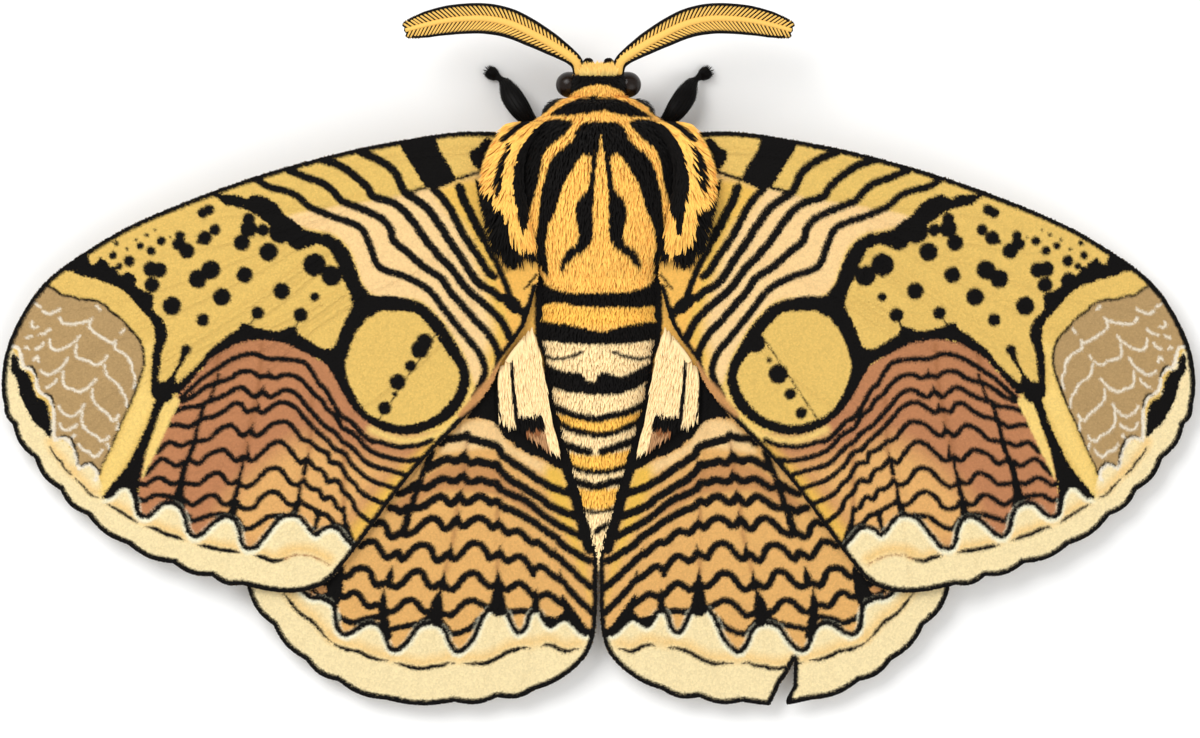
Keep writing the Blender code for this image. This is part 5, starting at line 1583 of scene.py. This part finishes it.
@dataclass
class Body:
    """The body: one skin from brow to tail, and its fur."""

    finishes: Finishes
    front: float = 42.9
    back: float = -31.2
    ring_step: float = 0.5
    sides: int = 96
    brow_tufts: int = 700
    brow_half: float = 2.7
    brow_back: float = 41.9
    brow_front: float = 42.8
    tuft_half: float = 0.12

    def light_at(self, points: np.ndarray) -> np.ndarray:
        """Colours of the markings at places on the body.

        Args:
            points: Places in millimetres.

        Returns:
            A linear colour for each place.
        """
        u = SHEET_CENTRE[0] + points[:, 0] / SHEET_MM
        v = SHEET_CENTRE[1] - points[:, 1] / SHEET_MM
        plan = Plan(u, v, Ink.THORAX_GOLD)
        BodyMarks().paint(plan)
        light = plan.light
        middle = HULL.sections(points[:, 1])[:, 1]
        below = np.clip((middle - 1.0 - points[:, 2]) / 2.5, 0.0, 1.0)
        below *= np.clip((points[:, 1] - 10.0) / 4.0, 0.0, 1.0)
        return light * (1 - below[:, None]) + Ink.UNDER_BROWN.light * below[:, None]

    def build_skin(self) -> None:
        """Make the one skin of head, collar, thorax and abdomen."""
        ys = np.arange(self.front, self.back, -self.ring_step)
        angle = math.tau * np.arange(self.sides) / self.sides
        y, turn = (grid.ravel() for grid in np.meshgrid(ys, angle, indexing="ij"))
        points = HULL.surface(y, turn, -HULL.inset)
        faces = triangles_of_rings(len(ys), self.sides)[:, ::-1]
        maps = np.column_stack([turn / math.tau * 0.5,
                                (self.front - y) / (self.front - self.back)]) * 0.96 + 0.02
        skin = make_object("body_skin", points, faces, self.finishes.skin, self.light_at(points), maps)
        place_piece(skin, "thorax_fur", "head", "collar", "thorax", "abdomen")

    def build_fur(self, name: str, slot: str, first: float, last: float, length: tuple[float, float],
                  lift: float, step: float) -> None:
        """Cover a stretch of the body with tufts that lie towards the tail.

        Args:
            name: The piece's name.
            slot: The record's material slot; not used.
            first: Where the stretch starts along Y.
            last: Where it ends.
            length: Length of the tufts at its start and end.
            lift: How far their ends stand off.
            step: Distance between tufts.
        """
        rng = np.random.default_rng(SEED + int(abs(first) * 10))
        ys, turns = [], []
        for y in np.arange(first, last, -step * 0.8):
            wide, _, half = HULL.sections(np.array([y]))[0]
            count = max(6, round(math.tau * math.sqrt((wide ** 2 + half ** 2) / 2) / step))
            turns.append((np.arange(count) + rng.uniform(-0.4, 0.4, count)) / count * math.tau)
            ys.append(np.full(count, y) + rng.uniform(-0.4, 0.4, count) * step)
        y, turn = np.concatenate(ys), np.concatenate(turns)
        roots = HULL.surface(y, turn, -HULL.inset)
        ahead = HULL.surface(y - 0.4, turn, -HULL.inset)
        beside = HULL.surface(y, turn + 0.03, -HULL.inset)
        up = unit(np.cross(beside - roots, roots - ahead))
        outward = np.sum(up * np.column_stack([np.sin(turn), np.zeros_like(turn), np.cos(turn)]), axis=1)
        up *= np.sign(outward)[:, None]
        along = unit(ahead - roots)
        across = np.cross(along, up)
        along += across * rng.normal(0.0, 0.14, len(y))[:, None]
        share = (first - y) / (first - last)
        size = (length[0] + (length[1] - length[0]) * share) * rng.uniform(0.75, 1.2, len(y))
        light = rng.uniform(0.85, 1.12, (len(y), 1)) * np.ones(3)
        maps = np.column_stack([(turn % math.tau) / math.tau * 0.5,
                                (self.front - y) / (self.front - self.back)]) * 0.96 + 0.02
        coat = Coat(roots, along, up, size, np.full(len(y), step * 0.42) * rng.uniform(0.8, 1.2, len(y)),
                    lift * rng.uniform(0.5, 1.2, len(y)), light, maps, HAIR, self.light_at)
        coat.build(name, self.finishes.fur, slot, smooth=True)

    def build(self) -> None:
        """Make the skin and the fur."""
        self.build_skin()
        self.build_fur("head_fur_tufts", "head_fur", 42.8, 38.6, (0.6, 0.9), 0.4, 0.27)
        self.build_fur("collar_fur_tufts", "collar_fur", 38.5, 36.0, (1.0, 1.2), 0.45, 0.3)
        self.build_fur("thorax_fur_tufts", "thorax_fur", 36.0, 12.0, (1.6, 2.1), 0.6, 0.37)
        self.build_fur("abdomen_fur_tufts", "abdomen_fur", 12.0, -31.2, (1.1, 1.2), 0.45, 0.35)
        self.build_brow()

    def build_brow(self) -> None:
        """Make the tuft of yellow hair that stands forward between the antennae."""
        rng = np.random.default_rng(SEED + 70)
        count = self.brow_tufts
        x, y = (rng.uniform(-self.brow_half, self.brow_half, count),
                rng.uniform(self.brow_back, self.brow_front, count))
        _, middle, half = HULL.sections(y).T
        roots = np.column_stack([x, y, middle + half * np.sqrt(1 - (x / 4.6) ** 2) - 0.3])
        along = np.column_stack([0.12 * x + rng.normal(0.0, 0.12, count), np.ones(count),
                                 rng.uniform(0.1, 0.6, count)])
        light = Ink.YELLOW.light * rng.uniform(0.85, 1.05, (count, 1))
        maps = np.column_stack([x / 6 + 0.5, (y - self.brow_back) * 0.8 + 0.1])
        coat = Coat(roots, along, np.tile([0.0, -0.4, 1.0], (count, 1)), rng.uniform(1.1, 1.7, count),
                    np.full(count, self.tuft_half), np.full(count, 0.2), light, maps, HAIR)
        coat.build("brow_fur_tufts", self.finishes.fur, "head_fur", smooth=True)


@dataclass
class BodyMarks:
    """The markings of head, thorax and abdomen on the sheet, seen from above."""

    THORAX_AXIS = 601.0
    SHOULDER = pairs(545, 110, 531, 119, 517, 129, 507, 139)

    THORAX = (
        pairs(
            547, 122, 556, 120, 573, 123, 562, 137, 546, 151, 541, 167, 538, 184, 532, 204, 526, 222, 522,
            233, 518, 214, 514, 194, 514, 173, 518, 155, 526, 141, 536, 129),
        pairs(
            581, 125, 571, 143, 556, 155, 548, 169, 542, 190, 540, 204, 538, 224, 535, 245, 536, 263, 544,
            273, 549, 276, 546, 253, 546, 241, 550, 224, 556, 210, 562, 190, 571, 173, 581, 158, 590, 156,
            591, 163, 590, 175, 588, 190, 581, 198, 576, 208, 576, 220, 579, 233, 577, 243, 566, 253, 561,
            265, 561, 273, 571, 261, 587, 249, 593, 237, 593, 216, 594, 192, 597, 163, 601, 131, 600, 123))
    HEAD_ARCS = (
        pairs(
            538, 112, 544, 100, 555, 85, 570, 76, 585, 75, 597, 76, 612, 74, 628, 76, 643, 85, 653, 100,
            660, 112, 650, 109, 640, 103, 630, 97, 620, 91, 610, 87, 599, 85.5, 590, 86.5, 580, 90, 570,
            95, 560, 101, 549, 109),
        pairs(
            550, 115.5, 560, 108, 570, 102.5, 580, 99, 590, 97, 595, 96.5, 603, 98, 612, 98, 620, 100, 630,
            104, 640, 110, 651, 117.5, 640, 117.5, 630, 117.5, 620, 115.5, 610, 113, 605, 111, 600, 112,
            590, 114, 580, 115, 570, 116, 560, 117))
    ORANGE_BANDS = (
        pairs(530, 306, 554, 304, 583, 308, 613, 309, 670, 306, 670, 324, 530, 324),
        pairs(
            540, 414, 566, 414, 583, 419, 596, 421, 609, 419, 628, 414, 660, 405, 655, 420, 601, 433, 540,
            424),
        pairs(550, 449, 592, 455, 646, 447, 638, 462, 599, 471, 560, 463),
        pairs(560, 488, 591, 489, 640, 488, 613, 507, 599, 510, 560, 505))
    BLACK_BANDS = (
        pairs(
            536, 268, 544, 282, 554, 289, 573, 293, 599, 293, 620, 293, 636, 290, 652, 282, 662, 268, 668,
            300, 648, 307, 613, 308, 583, 307, 554, 303, 530, 308),
        pairs(
            530, 322, 570, 325, 600, 331, 630, 325, 668, 322, 668, 336, 634, 343, 599, 345, 562, 343, 530,
            337),
        pairs(
            545, 364, 562, 371, 579, 372, 587, 380, 595, 382, 601, 372, 613, 374, 620, 377, 634, 371, 654,
            362, 652, 375, 640, 386, 624, 393, 603, 395, 583, 394, 562, 391, 544, 381))
    ARCS = (
        (3.4, pairs(544, 356, 556, 359, 571, 357, 582, 352)),
        (3.4, pairs(613, 352, 624, 356, 638, 359, 652, 357)),
        (7.2, pairs(546, 402, 566, 412, 583, 417, 596, 419, 609, 416, 628, 412, 650, 401)),
        (6.6, pairs(551, 419, 571, 429, 587, 433, 601, 435, 618, 431, 644, 419)),
        (8.4, pairs(557, 443, 571, 447, 581, 450, 589, 452)),
        (8.4, pairs(602, 452, 611, 449, 622, 445, 639, 438)),
        (5.8, pairs(562, 463, 581, 470, 599, 472, 615, 470, 632, 464)),
        (8.4, pairs(568, 480, 581, 483, 591, 486)), (8.4, pairs(597, 487, 609, 483, 626, 479)),
        (4.0, pairs(573, 506, 587, 511, 599, 512, 617, 508)),
        (5.0, pairs(585, 520, 586, 533)), (6.0, pairs(596, 532, 601, 528, 607, 525)))
    TEGULA = (
        pairs(511, 141, 503, 155, 497, 175, 496, 190, 501, 192, 505, 169, 510, 147),
        pairs(
            472, 178, 476, 200, 484, 216, 489, 230, 494, 243, 499, 254, 505, 264, 513, 273, 519, 266, 526,
            262, 536, 264, 537, 254, 530, 252, 518, 247, 509, 238, 507, 224, 503, 212, 495, 204, 487, 192))
    SIDES = pairs(
        534, 276, 534, 321, 538, 340, 544, 362, 547, 382, 548, 399, 554, 423, 562, 452, 571, 480, 579, 517,
        587, 546, 591, 562)

    def paint(self, plan: Plan) -> None:
        """Lay the markings."""
        plan.fill(pairs(480, 334, 720, 334, 720, 600, 480, 600), Ink.ABDOMEN_CREAM, smooth=False)
        for band in self.ORANGE_BANDS:
            plan.fill(band, Ink.ABDOMEN_ORANGE, soft=2.0)
        for band in self.BLACK_BANDS:
            plan.fill(band, Ink.BLACK)
        for width, arc in self.ARCS:
            plan.stroke(arc, width, Ink.BLACK)
        for side in Side:
            for shape in self.THORAX + self.TEGULA:
                plan.fill(self.on_side(shape, side, self.THORAX_AXIS), Ink.BLACK)
            plan.stroke(self.on_side(self.SIDES, side, SHEET_CENTRE[0]), 5.0, Ink.BLACK)
            plan.stroke(self.on_side(self.SHOULDER, side, SHEET_CENTRE[0]), 6.0, Ink.BLACK)
        for arc in self.HEAD_ARCS:
            plan.fill(arc, Ink.BLACK)

    @staticmethod
    def on_side(shape: np.ndarray, side: Side, axis: float) -> np.ndarray:
        """A left shape as it is, or mirrored to the right about an axis."""
        return shape if side is Side.LEFT else shape * np.array([-1.0, 1.0]) + np.array([2 * axis, 0.0])


@dataclass
class Tegula:
    """The pad of long fur that covers the root of a forewing."""

    side: Side
    finishes: Finishes
    inset: float = 0.3
    step: float = 0.36
    sides: int = 28
    front: float = 35.1
    back: float = 16.5
    ring_step: float = 0.4
    tuft_half: float = 0.17
    tuft_lift: float = 0.45

    PAD = ((35.2, 11.8, 0.5), (34.0, 13.4, 1.5), (30.0, 15.4, 2.4), (26.0, 16.2, 2.4), (22.0, 15.8, 2.0),
           (18.5, 14.6, 1.4), (16.5, 13.2, 0.6))
    WING_GAP = 1.2

    def surface(self, y: np.ndarray, turn: np.ndarray, lift: float) -> np.ndarray:
        """Places on the pad, raised by a lift, at angles from its outer edge."""
        table = smooth_line(self.PAD, 0.3)[::-1]
        outer, height = (np.interp(y, table[:, 0], table[:, i]) for i in (1, 2))
        low = DOME.level(np.full_like(y, DOME.root[0]), y) + self.WING_GAP
        wide, middle, half = HULL.sections(y).T
        inner = wide * np.sqrt(np.clip(1 - ((low - middle) / half) ** 2, 0.05, 1.0)) - 0.3
        across, up = (outer - inner) / 2, height / 2
        return np.column_stack([(inner + outer) / 2 + (across + lift) * np.cos(turn), y,
                                low + up + (up + lift) * np.sin(turn)])

    def light_at(self, points: np.ndarray) -> np.ndarray:
        """Colours of the markings at places on either side."""
        return Body(self.finishes).light_at(points)

    def build(self) -> None:
        """Make the pad's skin and its fur, the hind tufts long over the wing."""
        name = f"tegula_{self.side.word}"
        mirror = mirror_to(self.side)
        ys = np.arange(self.front, self.back, -self.ring_step)
        y, turn = (grid.ravel() for grid in np.meshgrid(ys, math.tau * np.arange(self.sides) / self.sides,
                                                        indexing="ij"))
        points = self.surface(y, turn, -self.inset) * mirror
        faces = triangles_of_rings(len(ys), self.sides)
        if self.side is Side.LEFT:
            faces = faces[:, ::-1]
        maps = self.map_places(y, turn)
        skin = make_object(f"{name}_skin", points, faces, self.finishes.skin, self.light_at(points), maps)
        place_piece(skin, "tegula_fur", name)
        rng = np.random.default_rng(SEED + 40)
        count = round(19.0 * 11.0 / self.step ** 2)
        y = rng.uniform(16.6, self.front, count)
        turn = rng.uniform(-0.6, math.pi + 0.2, count)
        roots = self.surface(y, turn, -self.inset)
        ahead = self.surface(y - 0.4, turn, -self.inset)
        up = np.column_stack([np.cos(turn) * 0.6, np.full(count, 0.15), np.abs(np.sin(turn)) + 0.3])
        along = ahead - roots
        along[:, 0] += 0.10 + 0.22 * np.clip(np.cos(turn), 0.0, 1.0) + rng.normal(0.0, 0.05, count)
        hind = np.clip((23.0 - y) / 6.0, 0.0, 1.0) + np.clip(np.cos(turn), 0.0, 1.0) * 0.5
        length = (2.0 + 1.5 * hind) * rng.uniform(0.8, 1.2, count)
        along = unit(along)
        reach = roots + along * length[:, None]
        floor = DOME.level(reach[:, 0], reach[:, 1]) + 1.0
        along[:, 2] += np.maximum(0.0, floor - reach[:, 2]) / length
        roots, along, up = roots * mirror, along * mirror, up * mirror
        light = self.light_at(roots + along * (length * 0.55)[:, None]) * rng.uniform(0.85, 1.1, (count, 1))
        coat = Coat(roots, along, up, length, np.full(count, self.tuft_half),
                    np.full(count, self.tuft_lift), light, self.map_places(y, turn), HAIR)
        coat.build(f"{name}_fur_tufts", self.finishes.fur, "tegula_fur", smooth=True)

    @staticmethod
    def map_places(y: np.ndarray, turn: np.ndarray) -> np.ndarray:
        """Places on the unrolled pad."""
        return np.column_stack([(turn % math.tau) / math.tau * 0.6, (35.2 - y) / 19.0]) * 0.96 + 0.02


@dataclass
class HairPanel:
    """The panel of long cream hair on the hindwing beside the abdomen."""

    side: Side
    finishes: Finishes
    step: float = 0.24
    tuft_half: float = 0.13
    tuft_length: tuple[float, float] = (2.0, 3.2)

    AREA = pairs(
        532, 326, 518, 342, 509, 358, 501, 366, 498, 374, 498, 403, 501, 410, 507, 412, 519, 416, 526, 424,
        536, 430, 545, 436, 556, 444, 556, 436, 551, 420, 547, 400, 545, 383, 541, 362, 537, 340)
    SLIT = pairs(511, 352, 513, 382, 516, 411, 519, 430)
    BLACK_PATCH = pairs(517, 414, 530, 412, 541, 412, 543, 427, 530, 430, 520, 430)
    BROWN_PATCH = pairs(520, 428, 531, 427, 543, 427, 548, 446, 540, 447, 526, 440)
    BAR = ((11.0, 2.2), (12.4, 0.6), (13.5, -1.0))

    def light_at(self, flat: np.ndarray) -> np.ndarray:
        """Colours at places in millimetres, for the +X side."""
        plan = Plan(*to_sheet(flat[:, 0], flat[:, 1]), Ink.ABDOMEN_CREAM)
        plan.fill(self.BLACK_PATCH, Ink.BLACK)
        plan.fill(self.BROWN_PATCH, Ink.CREASE, 0.8)
        plan.stroke(self.SLIT, (2.5, 4.0, 4.5), Ink.BLACK)
        plan.stroke(self.AREA[:7] - np.array([1.0, 0.0]), 4.0, Ink.BLACK)
        return plan.light

    def build(self) -> None:
        """Make the bar that the hair grows from, and the hair."""
        name = f"hair_panel_{self.side.word}"
        bar = smooth_line(self.BAR, 0.2)
        level = DOME.level(bar[:, 0], bar[:, 1])
        size = np.full(len(bar), 0.6)
        points, faces = tube(np.column_stack([bar, level + 0.25]), size, size * 0.45, 12)
        batch = Batch()
        batch.add(points, faces, Ink.ABDOMEN_CREAM.light)
        place_piece(batch.build(f"{name}_skin", self.finishes.skin, self.side), "panel_hair", name)
        rng = np.random.default_rng(SEED + 50)
        area = (np.array(SHEET_CENTRE) - self.AREA) * SHEET_MM
        low, high = area.min(axis=0), area.max(axis=0)
        flat = lattice(low, high, self.step, rng)
        flat = flat[within(flat, area)]
        count = len(flat)
        inward = 0.22 * (15.2 - flat[:, 0]) / 7.0
        along = np.column_stack([-inward + rng.normal(0.0, 0.04, count), np.full(count, -1.0),
                                 np.full(count, 0.03)])
        length = rng.uniform(*self.tuft_length, count)
        light = (self.light_at(flat + along[:, :2] * 0.45 * length[:, None])
                 * rng.uniform(0.88, 1.06, (count, 1)))
        roots = np.column_stack([flat, DOME.level(flat[:, 0], flat[:, 1]) + 0.02])
        up = np.tile([0.0, 0.0, 1.0], (count, 1))
        mirror = mirror_to(self.side)
        maps = 0.02 + 0.96 * (flat - low) / float((high - low).max())
        coat = Coat(roots * mirror, along * mirror, up, length, np.full(count, self.tuft_half),
                    rng.uniform(0.3, 0.8, count), light, maps, HAIR)
        coat.build(f"{name}_tufts", self.finishes.fur, "panel_hair", smooth=True)


@dataclass
class Eye:
    """A compound eye: a dome on the flat side of the head."""

    side: Side
    finishes: Finishes
    place: tuple[float, float] = (40.7, 9.9)
    base: float = 3.6
    start: float = 4.4
    radius: float = 1.95
    bulge: float = 2.0
    rings: int = 24
    sides: int = 48

    def build(self) -> None:
        """Make the eye."""
        turn = np.linspace(0, math.pi / 2 * 0.98, self.rings)
        out = np.concatenate([[self.base], self.start + self.bulge * np.sin(turn)])
        wide = np.concatenate([[self.radius], self.radius * np.cos(turn)])
        angle = math.tau * np.arange(self.sides) / self.sides
        points = np.column_stack([np.repeat(out, self.sides),
                                  self.place[0] + (wide[:, None] * np.cos(angle)).ravel(),
                                  self.place[1] + (wide[:, None] * np.sin(angle)).ravel()])
        batch = Batch()
        batch.add(points, triangles_of_rings(len(out), self.sides)[:, ::-1], Ink.BLACK.light)
        eye = batch.build(f"eye_{self.side.word}_cornea", self.finishes.cornea, self.side)
        place_piece(eye, "eye_cornea", f"eye_{self.side.word}")


@dataclass
class Antenna:
    """A comb antenna: a shaft with close rays on both sides, dark at their tips."""

    side: Side
    finishes: Finishes
    rays: int = 46
    slant: float = 0.85
    shaft_half: float = 0.62
    edge_half: float = 0.25
    tip_from: float = 0.94
    sag: float = 0.25

    FOOT = (2.9, 42.4, 12.3)
    PATH = [(3.5, 44.2, 13.2), (6.1, 46.1, 13.7), (9.8, 48.2, 14.1), (13.3, 49.8, 14.3), (16.7, 50.5, 14.3),
            (20.2, 50.5, 14.1), (23.6, 50.1, 13.7), (27.1, 49.3, 13.1), (28.9, 48.8, 12.8)]
    WIDTHS = [0.9, 1.4, 1.75, 1.95, 2.05, 2.05, 2.0, 1.75, 1.1]

    def build(self) -> None:
        """Make the shaft, the comb and the dark line of its ray tips."""
        path = smooth_line([self.FOOT] + self.PATH, 0.3)
        share = np.linspace(0, 1, len(path))
        half = np.interp(share, [0, 0.5, 1], [self.shaft_half, self.shaft_half * 0.8, 0.3])
        batch = Batch()
        points, faces = tube(path, half, half * 0.7, 12)
        batch.add(points, faces, Ink.COMB_YELLOW.light)
        ahead = unit(np.gradient(path, axis=0))
        reach = np.interp(share, np.linspace(0, 1, len(self.WIDTHS) + 1), [0.7] + self.WIDTHS)
        past = np.clip(share - self.tip_from, 0.0, 1.0) / (1 - self.tip_from)
        reach *= np.sqrt(np.clip(1 - past ** 2, 0.0, 1.0))
        beside = np.column_stack([-ahead[:, 1], ahead[:, 0], np.zeros(len(path))])
        drop = np.array([0.0, 0.0, self.sag])
        out = beside * reach[:, None]
        rim = np.vstack([path + out - drop, (path - out - drop)[-2::-1]])
        edge = np.full(len(rim), self.edge_half)
        points, faces = tube(rim, edge, edge * 0.8, 8)
        batch.add(points, faces, Ink.BLACK.light)
        for number in range(self.rays * 2):
            i = int((0.06 + 0.93 * number / (self.rays * 2)) * (len(path) - 1))
            dark = number % 2 == 1
            for turn in (1, -1):
                self.add_ray(batch, path[i], ahead[i], beside[i] * turn, reach[i], dark)
        comb = batch.build(f"antenna_{self.side.word}_comb", self.finishes.comb, self.side)
        place_piece(comb, "antenna_comb", f"antenna_{self.side.word}")

    def add_ray(self, batch: Batch, root: np.ndarray, ahead: np.ndarray, beside: np.ndarray, reach: float,
                dark: bool) -> None:
        """Add a ray, which slants to the tip and bends along the comb's edge.

        Args:
            batch: The comb's mesh.
            root: The ray's root on the shaft.
            ahead: The way to the antenna's tip.
            beside: The way out from the shaft.
            reach: How far out the comb goes here.
            dark: Whether it is one of the dark lower rays.
        """
        out = reach * np.array([0.1, 0.45, 0.78, 0.93, 0.98])
        on = reach * self.slant * np.array([0.0, 0.35, 0.7, 0.9, 1.0])
        drop = self.sag * np.array([0.0, 0.2, 0.5, 0.8, 1.0]) + (0.16 if dark else 0.0)
        path = root + beside * out[:, None] + ahead * on[:, None] - np.array([0, 0, 1.0]) * drop[:, None]
        wide = np.array([0.17, 0.17, 0.16, 0.14, 0.1]) * (1.3 if dark else 1.0)
        points, faces = tube(path, wide, wide * 0.6, 5)
        yellow, black = Ink.COMB_YELLOW.light, Ink.BLACK.light
        mix = np.ones(5) if dark else np.array([0.0, 0.0, 0.0, 0.7, 1.0])
        light = yellow * (1 - mix[:, None]) + black * mix[:, None]
        batch.add(points, faces, np.repeat(light, 5, axis=0))


@dataclass
class Leg:
    """A leg: a jointed tube under fine black scales, with a hair fringe."""

    side: Side
    finishes: Finishes
    name: str
    root: tuple[float, float]
    stations: tuple

    def build(self) -> None:
        """Make the leg."""
        x, y = self.root
        out = np.array(self.stations[0][:2]) - np.array(self.root)
        out /= np.linalg.norm(out)
        wide, middle, half = HULL.sections(np.array([y]))[0]
        top = middle - half * math.sqrt(1 - ((x - 1.0) / wide) ** 2) + 0.4
        rows = [(x + out[0] * on, y + out[1] * on, top - drop, 1.0, 1.0)
                for on, drop in ((0.0, 0.0), (0.45, 1.1), (1.6, 1.8))]
        path = smooth_line(rows + list(self.stations), 0.25)
        points, faces = tube(path[:, :3], path[:, 3], path[:, 4], 16)
        points[:, 2] = np.maximum(points[:, 2], 0.0)
        batch = Batch()
        batch.add(points, faces, Ink.BLACK.light)
        node = f"leg_{self.name}_{self.side.word}"
        place_piece(batch.build(f"{node}_cuticle", self.finishes.cuticle, self.side), "leg_scales", node)
        fur = tube_fur(path[:, :3], path[:, 3], path[:, 4], 0.3, Ink.BLACK, self.side)
        fur.build(f"{node}_hair_scales", self.finishes.fur, "leg_scales", smooth=True)
        self.build_claws(f"{node}_claws", path[-1], path[-1, :2] - path[-4, :2])

    def build_claws(self, name: str, foot: np.ndarray, ahead: np.ndarray) -> None:
        """Make the two curved claws that end the foot.

        Args:
            name: The piece's name.
            foot: The leg's last point, with its half width and height.
            ahead: The way that the foot points, in plan.
        """
        way = np.array([*ahead, 0.0]) / np.linalg.norm(ahead)
        across = np.array([-way[1], way[0], 0.0])
        batch = Batch()
        for turn in (-1, 1):
            spots = [foot[:3] - 0.1 * way + 0.1 * turn * across,
                     foot[:3] + 0.3 * way + 0.22 * turn * across,
                     foot[:3] * np.array([1.0, 1.0, 0.1]) + 0.65 * way + 0.28 * turn * across
                     + (0.0, 0.0, 0.06)]
            path = smooth_line(spots, 0.08)
            half = np.linspace(0.13, 0.02, len(path))
            points, faces = tube(path, half, half, 8)
            points[:, 2] = np.maximum(points[:, 2], 0.0)
            batch.add(points, faces, Ink.WARM_BLACK.light)
        place_piece(batch.build(name, self.finishes.cuticle, self.side), "leg_scales")


FRONT_LEG = ((9.2, 34.0, 3.2, 1.0, 0.95), (10.5, 35.5, 4.2, 1.2, 0.8), (11.8, 37.2, 4.6, 1.6, 0.7),
             (13.1, 39.2, 3.9, 1.6, 0.7), (13.9, 40.8, 2.8, 1.0, 0.6), (14.4, 41.4, 2.0, 0.45, 0.45),
             (15.0, 41.9, 1.3, 0.4, 0.4), (15.5, 42.2, 0.95, 0.8, 0.8), (16.1, 42.6, 0.85, 1.0, 1.0),
             (16.7, 43.0, 0.8, 0.8, 0.8))
MIDDLE_LEG = ((8.8, 25.1, 2.3, 0.95, 0.9), (12.6, 25.4, 4.4, 0.95, 0.85), (15.4, 25.6, 5.6, 0.85, 0.75),
              (17.0, 25.8, 5.0, 0.8, 0.7), (19.6, 26.0, 2.0, 0.6, 0.6), (21.2, 26.2, 0.7, 0.5, 0.5),
              (24.0, 26.7, 0.45, 0.5, 0.5), (26.4, 27.1, 0.45, 0.5, 0.5), (27.3, 27.3, 0.4, 0.35, 0.35))
HIND_LEG = ((8.0, 16.4, 2.3, 0.95, 0.9), (11.4, 12.6, 4.2, 0.95, 0.85), (13.6, 9.4, 5.4, 0.85, 0.75),
            (14.8, 7.4, 4.9, 0.8, 0.7), (16.8, 3.2, 2.0, 0.6, 0.6), (17.8, 1.0, 0.7, 0.5, 0.5),
            (19.6, -3.4, 0.45, 0.5, 0.5), (21.2, -8.6, 0.45, 0.5, 0.5), (21.8, -10.4, 0.4, 0.35, 0.35))


@dataclass
class Palp:
    """A palp: a short furred feeler in front of the mouth."""

    side: Side
    finishes: Finishes

    STATIONS = [(1.3, 42.6, 8.6, 0.6, 0.6), (1.4, 43.45, 8.3, 0.65, 0.6), (1.5, 43.85, 8.6, 0.7, 0.6),
                (1.6, 44.05, 9.4, 0.55, 0.5), (1.65, 44.0, 10.2, 0.2, 0.2)]

    def build(self) -> None:
        """Make the palp."""
        path = smooth_line(self.STATIONS, 0.15)
        points, faces = tube(path[:, :3], path[:, 3], path[:, 4], 14)
        batch = Batch()
        batch.add(points, faces, Ink.WARM_BLACK.light)
        node = f"palp_{self.side.word}"
        place_piece(batch.build(f"{node}_skin", self.finishes.skin, self.side), "palp_fur", node)
        fur = tube_fur(path[:, :3], path[:, 3], path[:, 4], 0.5, Ink.WARM_BLACK, self.side)
        fur.build(f"{node}_fur_tufts", self.finishes.fur, "palp_fur", smooth=True)


@dataclass
class Studio:
    """A pale floor, soft light and a camera straight above."""

    distance: float = 2.5
    plane: float = 8.0
    floor_half: float = 1.5

    def build(self) -> None:
        """Make the floor, the lights and the camera."""
        scene = bpy.context.scene
        scene.view_settings.view_transform = "Standard"
        half = self.floor_half
        points = np.array([(-half, -half, 0), (half, -half, 0), (half, half, 0), (-half, half, 0)]) / MM
        floor = make_object("floor", points, np.array([[0, 1, 2, 3]]), FloorFinish().material())
        world = bpy.data.worlds.new("studio")
        scene.world = world
        world.use_nodes = True
        world.node_tree.nodes["Background"].inputs["Color"].default_value = (1, 1, 1, 1)
        world.node_tree.nodes["Background"].inputs["Strength"].default_value = 0.72
        lamps = (("key", (-0.5, 0.6, 1.0), 0.7, 9.0), ("fill", (0.6, -0.4, 0.9), 0.9, 3.0))
        for name, place, size, watts in lamps:
            lamp = bpy.data.lights.new(name, "AREA")
            lamp.size = size
            lamp.energy = watts
            light = bpy.data.objects.new(name, lamp)
            light.location = place
            light.rotation_euler = (-Vector(place)).to_track_quat("-Z", "Y").to_euler()
            bpy.context.collection.objects.link(light)
        camera = bpy.data.cameras.new("camera")
        camera.sensor_width = 36.0
        width = SHEET_SIZE[0] * SHEET_MM * MM
        camera.lens = camera.sensor_width * (self.distance - self.plane * MM) / width
        camera.clip_start, camera.clip_end = 0.1, 10.0
        eye = bpy.data.objects.new("camera", camera)
        x = (SHEET_SIZE[0] / 2 - SHEET_CENTRE[0]) * SHEET_MM * MM
        y = (SHEET_CENTRE[1] - SHEET_SIZE[1] / 2) * SHEET_MM * MM
        eye.location = (x, y, self.distance)
        bpy.context.collection.objects.link(eye)
        scene.camera = eye


def main() -> None:
    """Build the dressed moth piece by piece."""
    logging.basicConfig(level=logging.INFO, format="%(message)s")
    finishes = Finishes.make()
    for side in Side:
        Forewing(side, finishes).build()
        Hindwing(side, finishes).build()
        Eye(side, finishes).build()
        Antenna(side, finishes).build()
        Palp(side, finishes).build()
        Tegula(side, finishes).build()
        HairPanel(side, finishes).build()
        Leg(side, finishes, "front", (6.4, 31.0), FRONT_LEG).build()
        Leg(side, finishes, "middle", (5.4, 25.0), MIDDLE_LEG).build()
        Leg(side, finishes, "hind", (5.2, 18.6), HIND_LEG).build()
    Body(finishes).build()
    Studio().build()


if __name__ == "__main__":
    main()
